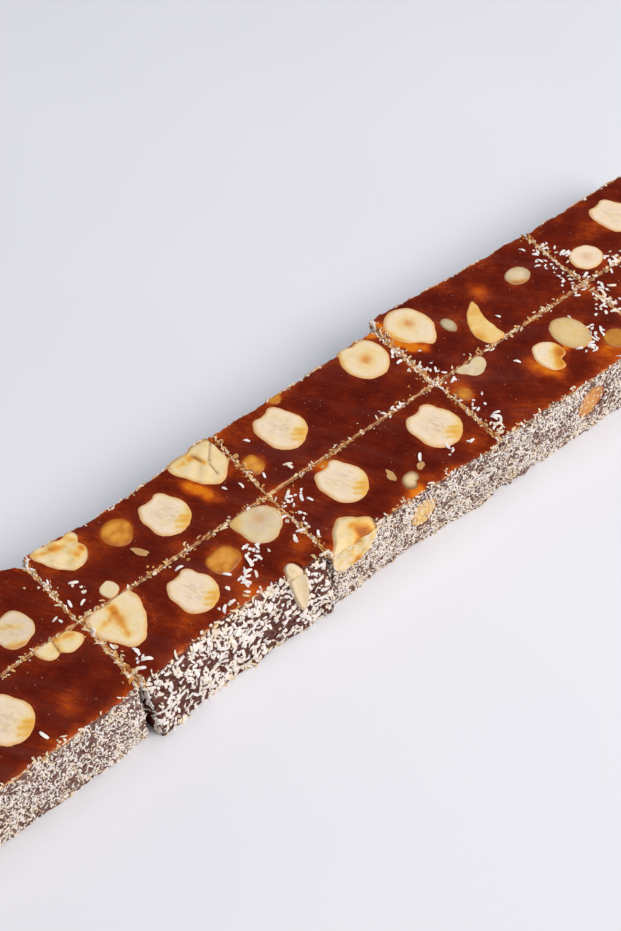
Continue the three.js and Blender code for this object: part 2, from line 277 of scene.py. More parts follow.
def setCarrotJelly(look):
    # Boiled carrot and starch jelly, pressed and knife-cut: dark red-brown and see-through, with the amber
    # glow of light through its thin places painted in, fine parallel knife marks and a satin gloss.
    material, add = newMaterial("setCarrotJelly")
    place = add("ShaderNodeTexCoord").outputs["Object"]
    glow, dustAndShadeCover, burrAndLitWallMask, caked = (add("ShaderNodeAttribute", attribute_name=name).outputs["Fac"]
                                for name in ("glow", "dustAndShade", "burr", "crust"))
    knife = add("ShaderNodeAttribute", attribute_name="knife").outputs["Vector"]
    noises = {}
    for kinds, space, unit in ((look["solid"], place, mm), (look["knifed"], knife, 1)):
        for name, (size, detail, roughness) in kinds.items():
            noises[name] = add("ShaderNodeTexNoise", {
                "Vector": space, "Scale": 1 / (size * unit), "Detail": detail, "Roughness": roughness})
    # The level climbs from the jelly's own dark red-brown to the painted amber glow of light through it.
    level = glow
    for name, weight in look["lightBy"].items():
        level = add("ShaderNodeMath", {0: noises[name], 1: weight, 2: level}, operation="MULTIPLY_ADD")
    level = add("ShaderNodeMath", {0: level, 1: look["darken"]}, operation="SUBTRACT")
    colour = add("ShaderNodeValToRGB", {"Fac": level}, look["ramp"])
    cells = add("ShaderNodeTexVoronoi", {"Vector": place, "Scale": 1 / (look["speckSpacing"] * mm)})
    # Pale burrs lie along the cut edges; on the shaded upper cut walls the same colour is painted light.
    ragged = add("ShaderNodeMath", {0: burrAndLitWallMask, 1: noises["powder"]}, operation="MULTIPLY")
    # One mask lays patches of painted mauve sheen, reflected light, over the top.
    masks = {"film": noises["smear"], "scratch": noises["scratch"], "spot": cells,
             "chosen": cells.outputs["Color"], "burr": ragged}
    for name, value in masks.items():
        low, high, most = look["masks"][name]
        masks[name] = add("ShaderNodeMapRange", {
            "Value": value, "From Min": low, "From Max": high, "To Max": most})
    speck = add("ShaderNodeMath", {0: masks["spot"], 1: masks["chosen"]}, operation="MULTIPLY")
    # Coconut dust on the sides, its darker colours painted shade in the gaps between the shreds.
    crusted = add("ShaderNodeMath", {0: caked, 1: look["paleByCrust"], 2: noises["powder"]},
                  operation="MULTIPLY_ADD")
    dustAndShade = add("ShaderNodeValToRGB", {"Fac": crusted}, look["dustAndShade"])
    # Along the knife scratches the lighter colour is painted sheen.
    for mask, tint in ((masks["film"], look["film"]), (masks["scratch"], look["scratch"]),
                       (speck, look["speck"]), (dustAndShadeCover, dustAndShade), (masks["burr"], look["burr"])):
        colour = add("ShaderNodeMix", {0: mask, 6: colour, 7: tint}, data_type="RGBA")
    dry = add("ShaderNodeMath", {0: dustAndShadeCover, 1: masks["burr"]}, operation="MAXIMUM")
    sheen = add("ShaderNodeMapRange", {
        "Value": dry, "To Min": look["roughness"], "To Max": look["dryRoughness"]})
    rough = add("ShaderNodeMath", {0: noises["mark"], 1: look["roughByMark"], 2: sheen},
                operation="MULTIPLY_ADD")
    scored = add("ShaderNodeBump", {
        "Height": noises["mark"], "Strength": 0.35, "Distance": look["markDepth"] * mm})
    grained = add("ShaderNodeBump", {
        "Height": noises["powder"], "Strength": 0.25, "Distance": look["powderDepth"] * mm, "Normal": scored})
    skin = add("ShaderNodeBsdfPrincipled", {
        "Base Color": colour, "Roughness": rough, "Normal": grained, "IOR": 1.42,
        "Specular IOR Level": look["gloss"], "Specular Tint": look["shine"], "Subsurface Weight": 0.12,
        "Subsurface Radius": (1.0, 0.25, 0.1), "Subsurface Scale": 1.5 * mm})
    add("ShaderNodeOutputMaterial", {"Surface": skin})
    return material


nutGrain = {
    "fibre": (0.55, 5, 0.65), "fibreTurn": -68, "fibreStretch": 3.5, "fibreDepth": 0.15,
    "cloud": (2.2, 3, 0.5), "soakByFibre": 0.22, "rimByFibre": 0.16,
    "masks": {"rim": (0.89, 1.05, 0.85), "inner": (0.75, 0.3, 0.75), "dots": (0.45, 0.7, 0.85)},
}
creamNutLook = {
    **nutGrain,
    "soak": [(0, "#f3dcc0"), (0.16, "#f2d9a6"), (0.36, "#f0ca7c"), (0.62, "#e49e36"), (1, "#c86c10")],
    "rim": "#e5ab64", "core": "#d9883c", "streak": "#e6ac34", "freckle": "#c0a48a", "crack": "#7e3c18",
    "veil": "#a99a80", "roughness": 0.52, "gloss": 0.3, "seeThrough": 0.15, "cloudy": 0.36, "clear": 0.26,
}
amberNutLook = {
    **nutGrain,
    "soak": [(0, "#e4a23c"), (0.35, "#d4861e"), (0.65, "#b86814"), (1, "#964608")],
    "rim": "#b0620f", "core": "#e8bc68", "streak": "#a8601a", "freckle": "#e2b45e", "crack": "#7a2c0c",
    "veil": "#8a3a10", "roughness": 0.32, "gloss": 0.45, "seeThrough": 0.3, "cloudy": 0.6, "clear": 0.38,
}


def hazelnutFlesh(name, look):
    # Blanched hazelnut cut by the knife: dry, cream, finely fibrous and yellower along its rim. Where
    # syrup has soaked in, it is amber, waxy and see-through.
    material, add = newMaterial(name)
    place = add("ShaderNodeTexCoord").outputs["Object"]
    painted = {layer: add("ShaderNodeAttribute", attribute_name=layer).outputs["Fac"]
               for layer in ("rim", "core", "streak", "soak", "crack", "veil", "speckled")}
    turn = math.radians(look["fibreTurn"])
    along = add("ShaderNodeMapping", {
        "Vector": place, "Scale": (look["fibreStretch"], 1, 1), "Rotation": (0, 0, turn)},
        vector_type="TEXTURE")
    noises = {}
    for kind, space in (("fibre", along), ("cloud", place)):
        size, detail, roughness = look[kind]
        noises[kind] = add("ShaderNodeTexNoise", {
            "Vector": space, "Scale": 1 / (size * mm), "Detail": detail, "Roughness": roughness})
    level = painted["soak"]
    for kind, weight in (("cloud", look["cloudy"]), ("fibre", look["soakByFibre"])):
        level = add("ShaderNodeMath", {0: noises[kind], 1: weight, 2: level}, operation="MULTIPLY_ADD")
    level = add("ShaderNodeMath", {0: level, 1: look["clear"]}, operation="SUBTRACT")
    colour = add("ShaderNodeValToRGB", {"Fac": level}, look["soak"])
    edge = add("ShaderNodeMath", {0: noises["fibre"], 1: look["rimByFibre"], 2: painted["rim"]},
               operation="MULTIPLY_ADD")
    masks = {"rim": edge, "inner": painted["rim"], "dots": noises["fibre"]}
    for kind, value in masks.items():
        low, high, most = look["masks"][kind]
        masks[kind] = add("ShaderNodeMapRange", {
            "Value": value, "From Min": low, "From Max": high, "To Max": most})
    amid = add("ShaderNodeMath", {0: masks["inner"], 1: painted["speckled"]}, operation="MULTIPLY")
    freckles = add("ShaderNodeMath", {0: masks["dots"], 1: amid}, operation="MULTIPLY")
    covers = {**painted, "rim": masks["rim"], "freckle": freckles}
    for kind in ("rim", "freckle", "streak", "core", "veil", "crack"):
        colour = add("ShaderNodeMix", {0: covers[kind], 6: colour, 7: look[kind]}, data_type="RGBA")
    bumped = add("ShaderNodeBump", {
        "Height": noises["fibre"], "Strength": 0.3, "Distance": look["fibreDepth"] * mm})
    skin = add("ShaderNodeBsdfPrincipled", {
        "Base Color": colour, "Roughness": look["roughness"], "Normal": bumped, "IOR": 1.45,
        "Specular IOR Level": look["gloss"], "Subsurface Weight": look["seeThrough"],
        "Subsurface Radius": (1.0, 0.6, 0.3), "Subsurface Scale": 1.2 * mm})
    add("ShaderNodeOutputMaterial", {"Surface": skin})
    return material


coconutLook = {
    "ramp": [(0.3, "#fbf1ea"), (0.62, "#f3dcb8"), (0.82, "#e0a860"), (1, "#b4662a")], "roughness": 0.6,
    "blotch": 0.5, "tintByBlotch": 0.25, "blotchDepth": 0.08,
}


def desiccatedCoconut(look):
    # Dried grated coconut: chalky white, a little waxy, cream to tan where it has touched syrup.
    material, add = newMaterial("desiccatedCoconut")
    place = add("ShaderNodeTexCoord").outputs["Object"]
    tint, warm = (add("ShaderNodeAttribute", attribute_name=name).outputs["Fac"] for name in ("tint", "warm"))
    blotch = add("ShaderNodeTexNoise", {"Vector": place, "Scale": 1 / (look["blotch"] * mm), "Detail": 3})
    mixed = add("ShaderNodeMath", {0: tint, 1: warm}, operation="ADD")
    level = add("ShaderNodeMath", {0: blotch, 1: look["tintByBlotch"], 2: mixed}, operation="MULTIPLY_ADD")
    colour = add("ShaderNodeValToRGB", {"Fac": level}, look["ramp"])
    bumped = add("ShaderNodeBump", {"Height": blotch, "Strength": 0.3, "Distance": look["blotchDepth"] * mm})
    skin = add("ShaderNodeBsdfPrincipled", {
        "Base Color": colour, "Roughness": look["roughness"], "Normal": bumped, "IOR": 1.45,
        "Specular IOR Level": 0.4, "Subsurface Weight": 0.15, "Subsurface Radius": (1.0, 0.8, 0.6),
        "Subsurface Scale": 0.6 * mm})
    add("ShaderNodeOutputMaterial", {"Surface": skin})
    return material


jelly = setCarrotJelly(jellyLook)
creamNut = hazelnutFlesh("blanchedHazelnut", creamNutLook)
amberNut = hazelnutFlesh("syrupSoakedHazelnut", amberNutLook)
coconut = desiccatedCoconut(coconutLook)
print("materials made")


# ---- Slices of jelly, in millimetres
# start, end: how far an end stands off the even pitch, at the long cut and at the outer side.
# width: how far the width stands off rowWidth at the start, middle and end. foot: how far the bottom
# of the outer side stands out. endInset: how far the end's outer corner is worn in. grain: the way the
# knife marks run, in degrees. coat, startCoat, endCoat: how full the coconut is on the outer side and
# on the two ends. coarse: how much of it is shreds. flake: their size. grit: how much lies in grains.
# crust: how pale the coated jelly is. bare: x, z, radius and strength of the coat's bald places.
# glows: x, y, radius and strength of the painted amber glow, light shining through thin jelly on top.
# kerf: the width of the long cut.
# closed: how far each side of a column cut is drawn in. ridges: height and frequency of the knife's
# ridges. dents, ragged: height, size and seed of bumps on top and on the sides. cutLip: the part of
# the height above which the walls of the cuts are ragged. creep: how far the coat comes over the edge.

bar = {
    "height": 18.9, "pitch": 50, "columns": 5, "rowWidth": 21.4, "kerf": 0.3, "closed": 0.36,
    "cuts": (96, 44, 26), "crowd": 0.55, "cornerInset": 0.6, "cornerSharp": 8, "waviness": 0.3,
    "waves": (17, 5, 9), "shoulder": 0.3, "shoulderWidth": 0.7, "sunk": 0.1, "creep": {front: 1.6, back: 0.9},
    "ridges": [(0.035, 2.3), (0.025, 4.1)], "dents": [(0.25, 6, 2), (0.12, 1.6, 3)],
    "ragged": [(0.5, 0.9, 4), (0.5, 2.5, 5)], "raggedSide": 1.5, "raggedCut": 0.8, "cutLip": 0.86,
}
plainSlice = {
    "endInset": bar["cornerInset"], "coat": 0.9, "startCoat": 0, "endCoat": 0, "coarse": 0, "flake": 0.75,
    "grit": 1.0, "crust": 0.35, "bare": [],
}
slices = {
    "back_slice_1": {
        "start": (0, 0.4), "end": (-1.2, -1.8), "width": (-0.4, 0.1, -0.2), "foot": 0.5, "endInset": 1.6,
        "grain": -58, "glows": [(-90, 15, 4, 0.4)]},
    "back_slice_2": {
        "start": (-0.2, -0.5), "end": (-1.0, 0), "width": (-0.1, -1.7, 0.6), "foot": 0.6, "grain": -58,
        "startCoat": 0.9,
        "glows": [(-37.6, 12.8, 1.7, 0.7), (-36.3, 11.1, 1.7, 0.8), (-35.3, 8.4, 1.7, 0.8),
                  (-34.6, 6, 1.5, 0.35), (-64, 12, 4, 0.25), (-48, 2, 3, 0.2)]},
    "back_slice_3": {
        "start": (-0.2, 0.8), "end": (-1.4, -0.8), "width": (0.3, -0.3, 0.8), "foot": 0.5, "grain": -55,
        "endCoat": 0.8, "glows": [(-20, 18, 4, 0.3), (23.6, 21.2, 1.6, 0.8), (22.5, 8, 3, 0.3)]},
    "back_slice_4": {
        "start": (-0.1, 1.4), "end": (-0.7, 0.2), "width": (4.0, 1.6, 1.1), "foot": 0.3, "grain": -50,
        "startCoat": 0.8,
        "glows": [(53, 14.5, 2.8, 0.75), (26.4, 21.6, 1.8, 0.8), (26, 15.2, 1.9, 0.9),
                  (28.3, 11.4, 1.8, 0.9), (30.6, 9.6, 1.5, 0.7), (60, 6, 5, 0.2)]},
    "back_slice_5": {
        "start": (0.2, 1.2), "end": (-0.3, 0), "width": (0.5, -0.1, -0.4), "foot": 0.6, "grain": -52,
        "startCoat": 0.6, "glows": [(90, 12, 4, 0.35), (108, 5, 4, 0.2)]},
    "front_slice_1": {
        "start": (0, 0.5), "end": (-0.6, -0.3), "width": (-0.3, -0.8, -0.8), "foot": 1.2, "grain": -58,
        "coat": 0.8, "glows": [(-88, -14, 4, 0.3), (-110, -5, 4, 0.2)]},
    "front_slice_2": {
        "start": (0.4, 1.6), "end": (-0.9, -0.8), "width": (-1.0, -3.2, -1.4), "foot": 3.6, "grain": -60,
        "coat": 0.7, "startCoat": 0.7, "crust": -0.1, "coarse": 0.9, "flake": 0.92, "grit": 0.3,
        "bare": [(-41.6, 6.6, 2.2, 0.9), (-38, 4.6, 1.6, 0.6), (-34.5, 11, 2.6, 0.7),
                 (-52, 8, 4, -0.6), (-60, 14, 3, -0.5), (-46, 1, 3, -0.4)],
        "glows": [(-44, -15.5, 4, 0.5), (-60, -15, 4, 0.2), (-38, -8, 3, 0.2), (-28, -14, 3, 0.4)]},
    "front_slice_3": {
        "start": (0.1, 0.1), "end": (-0.5, -1.2), "width": (0, -0.6, 1.4), "foot": 0.9, "grain": -61,
        "coat": 0.95,
        "glows": [(-10.5, -1.5, 2.4, 0.75), (0.4, -20, 2, 0.7), (4.6, -19.5, 2, 0.4), (20, -18, 4, 0.25),
                  (-20, -6, 4, 0.2)]},
    "front_slice_4": {
        "start": (0.5, 0.1), "end": (-0.9, -1.4), "width": (0.2, 0.9, 1.0), "foot": 1.2, "grain": -42,
        "startCoat": 0.5,
        "glows": [(46.2, -12.6, 2.8, 0.66), (49, -16, 2.6, 0.66), (46.4, -9.4, 2.2, 0.45),
                  (55.8, -12, 1.4, 0.5), (28.5, -5, 3, 0.4), (62, -19, 4, 0.5), (66, -6, 3, 0.2),
                  (36, -19, 5, 0.25)]},
    "front_slice_5": {
        "start": (0.2, -0.2), "end": (0, -0.4), "width": (0.8, 0, -0.5), "foot": 1.0, "grain": -50,
        "glows": [(96, -17, 4, 0.4), (80, -8, 4, 0.25)]},
}


def laidOut(name, shape):
    # A slice's settings with the plain ones filled in, and its ends and width where they lie.
    column = int(name[-1])
    begin = (column - 1) * bar["pitch"] - bar["columns"] * bar["pitch"] / 2
    closedStart = 0 if column == 1 else bar["closed"]
    closedEnd = 0 if column == bar["columns"] else bar["closed"]
    return {**plainSlice, **shape, "row": front if name.startswith("front") else back,
            "column": column, "from": begin,
            "start": [begin + off - closedStart for off in shape["start"]],
            "end": [begin + bar["pitch"] + off + closedEnd for off in shape["end"]],
            "width": [bar["rowWidth"] + off for off in shape["width"]]}


slices = {name: laidOut(name, shape) for name, shape in slices.items()}


def through(values, t):
    # The parabola through three values at 0, 0.5 and 1.
    a, b, c = values
    return a * (1 - t) * (1 - 2 * t) + 4 * b * t * (1 - t) + c * t * (2 * t - 1)


def endsAt(shape, v):
    # x of a slice's two ends, v of the way from the long cut to the outer side.
    return [shape[end][0] + (shape[end][1] - shape[end][0]) * v for end in ("start", "end")]


def skinPoints(shape, u, v, w):
    # Points of a slice's skin: u along it, v from the long cut to the outer side, w up it.
    startX, endX = endsAt(shape, v)
    foot = shape["foot"] * np.sin((1 - w) * math.pi / 2)
    along, up, slant = bar["waves"]
    wave = bar["waviness"] * np.sin(startX + u * along) * np.sin(w * up + u * slant)
    outer = through(shape["width"], u) + (foot + wave) * v
    corner = (np.abs(2 * u - 1) * v) ** bar["cornerSharp"]
    inset = corner * np.where(u > 0.5, shape["endInset"], bar["cornerInset"])
    x = startX + (endX - startX) * u + np.where(u > 0.5, -inset, inset)
    y = shape["row"] * (bar["kerf"] / 2 + (outer - bar["kerf"] / 2) * v - inset)
    return np.stack([x, y, w * bar["height"]], 1)


def crowded(t):
    # Draws evenly spread cuts towards the edges of a face.
    return t + bar["crowd"] * (np.sin((t - 0.5) * math.pi) / 2 + 0.5 - t)


def edgeDistances(shape, points):
    # How far each point is from the slice's two ends, its long cut and its outer side.
    x, y, z = points.T
    beside = np.abs(y)
    startX, endX = endsAt(shape, np.clip(beside / through(shape["width"], 0.5), 0, 1))
    u = np.clip((x - startX) / (endX - startX), 0, 1)
    rise = 1 - np.clip(z / bar["height"], 0, 1)
    outer = through(shape["width"], u) + shape["foot"] * np.sin(rise * math.pi / 2)
    return {"start": x - startX, "end": endX - x, "ends": np.minimum(x - startX, endX - x),
            "cut": beside - bar["kerf"] / 2, "outer": outer - beside}


def knifeWay(shape, points):
    # How far points lie across and along the knife marks.
    x, y = points[:, :2].T
    angle = math.radians(shape["grain"])
    return y * math.cos(angle) - x * math.sin(angle), x * math.cos(angle) + y * math.sin(angle)


def sliceBlock(name, shape):
    piece = newBox(name.replace("slice", "jelly"), (bar["pitch"], bar["rowWidth"], bar["height"]),
                   (shape["from"] + bar["pitch"] / 2, shape["row"] * bar["rowWidth"] / 2, bar["height"] / 2))
    for axis, cuts in enumerate(bar["cuts"]):
        cutAlong(piece, axis, cuts)
    points = readPoints(piece)
    u = crowded(np.clip((points[:, 0] - shape["from"]) / bar["pitch"], 0, 1))
    v = crowded(np.clip(np.abs(points[:, 1]) / bar["rowWidth"], 0, 1))
    w = crowded(np.clip(points[:, 2] / bar["height"], 0, 1))
    atStart, atEnd, atCut, atSide, atTop = u < 0.001, u > 0.999, v < 0.001, v > 0.999, w > 0.999
    lip = w > bar["cutLip"]
    shaped = skinPoints(shape, u, v, w)
    nearest = np.minimum.reduce(list(edgeDistances(shape, shaped).values()))
    across = knifeWay(shape, shaped)[0]
    (high, often), (higher, oftener) = bar["ridges"]
    ridges = high * np.sin(across * often + 2 * patchy(shaped, 9)) + higher * np.sin(across * oftener)
    shoulder = bar["shoulder"] * (1 - smoothStep(0, bar["shoulderWidth"], nearest))
    shaped[:, 2] += np.where(atTop, ridges + bumps(shaped, bar["dents"]) - bar["sunk"] - shoulder, 0)
    ragged = bumps(shaped, bar["ragged"])
    shaped[:, 1] += shape["row"] * np.where(atSide, bar["raggedSide"] * ragged, 0)
    shaped[:, 1] += shape["row"] * np.where(atCut & lip, np.maximum(ragged, -0.15) * bar["raggedCut"], 0)
    for wall, sign in ((atStart, 1), (atEnd, -1)):
        shaped[:, 0] += sign * np.where(wall & lip, np.maximum(ragged, -0.1) * bar["raggedCut"], 0)
    writePoints(piece, insideBox(shaped))
    return piece


# ---- Hazelnuts, in millimetres and degrees
# form or outline: the cut face, which keeps its own size where at says its place, and is otherwise
# drawn out to the size named, or to the CAD kernel's own box. bend: how fast its middle line curves
# off, and about which y. onSide: it lies in the outer side of its slice, and at is x and z.
# soak: how much syrup it has taken up, and skin: how much more below the face. wet: angle, width and
# strength of a syrupy side. washes, strokes: lines of syrup and of gold. stains, core, pit: x, y,
# radius and strength of each. crack, slit: a line. All of them count from the middle.
# veil, drowned: how far it lies under a film of jelly, all over and round its edge. speckled: how
# freckled it is. coat, sideCoat: how full the coconut is on its face and on its side.
# proud, hangs: how far it stands out of the outer side and follows its slope. rounded, roundedOver:
# how much is lost there, and over what width. worn, wornFrom: how much of the rim is lost, and from
# which part of the radius. craggy, rugged: how broken the face and the side are. clear: how far
# kernels keep off the cuts.

nutShape = {
    "segments": 80, "rings": 32, "insets": 13, "proud": 0.09, "smooth": 0.6, "uneven": 0.03, "clear": 0.05,
    "relief": [(0.1, 0.9, 1), (0.12, 3, 2)], "crackWidth": 0.22, "slitWidth": 0.4, "strokeWidth": 0.3,
    "washWidth": 0.8, "washSoak": 0.36, "amberSoak": 0.26, "amberRim": 0.35, "amberPatches": 0.7,
    "sideSunk": 0.25, "pocketFit": 0.985,
}
forms = {
    "oval": [(5, 0), (3.4, 3.6), (0, 5), (-3.7, 3.5), (-5, 0), (-3.4, -3.6), (0, -5.1), (3.7, -3.3)],
    "block": [(5, 0.5), (3.9, 3.9), (0.4, 4.8), (-3.9, 3.8), (-5, -0.2), (-3.7, -4), (0.4, -4.9), (4, -3.6)],
    "bitten": [(0.9, 6.1), (3.7, 3.1), (5.1, -1.1), (3.4, -4.6), (-0.6, -6.2), (-3.8, -4.3), (-4.9, -0.3),
               (-4.8, 3.4), (-3.4, 5.3), (-1.5, 5.2), (0.1, 5.5)],
    "wedge": [(4.8, 6.8), (6.2, 4), (5.4, 0), (3.3, -4.1), (0.2, -6.8), (-3.9, -3.3), (-6.1, 1.5),
              (-5.4, 5.3), (0, 5.5)],
}
plainNut = {
    "turn": 0, "bend": (0, 0), "onSide": False, "amber": False, "soak": 0, "skin": 0.4, "washes": [],
    "strokes": [], "stains": [], "core": [], "pit": [], "crack": [], "slit": [], "veil": 0, "drowned": 0,
    "speckled": 0.35, "coat": 0, "sideCoat": 0, "proud": 0, "hangs": 0, "rounded": 0.3, "roundedOver": 0.6,
    "worn": 0.22, "wornFrom": 0.9, "craggy": 0, "rugged": 0,
}
bitten = {"form": "bitten", "wet": (-38, 0.5, 0.24), "speckled": 1, "stains": [(2.0, -3.8, 1.9, 0.42)],
          "strokes": [[(2.1, -2.4), (3.9, -3.8)], [(0.6, -3.0), (3.1, -4.8)], [(-0.3, -4.2), (1.6, -5.6)]]}
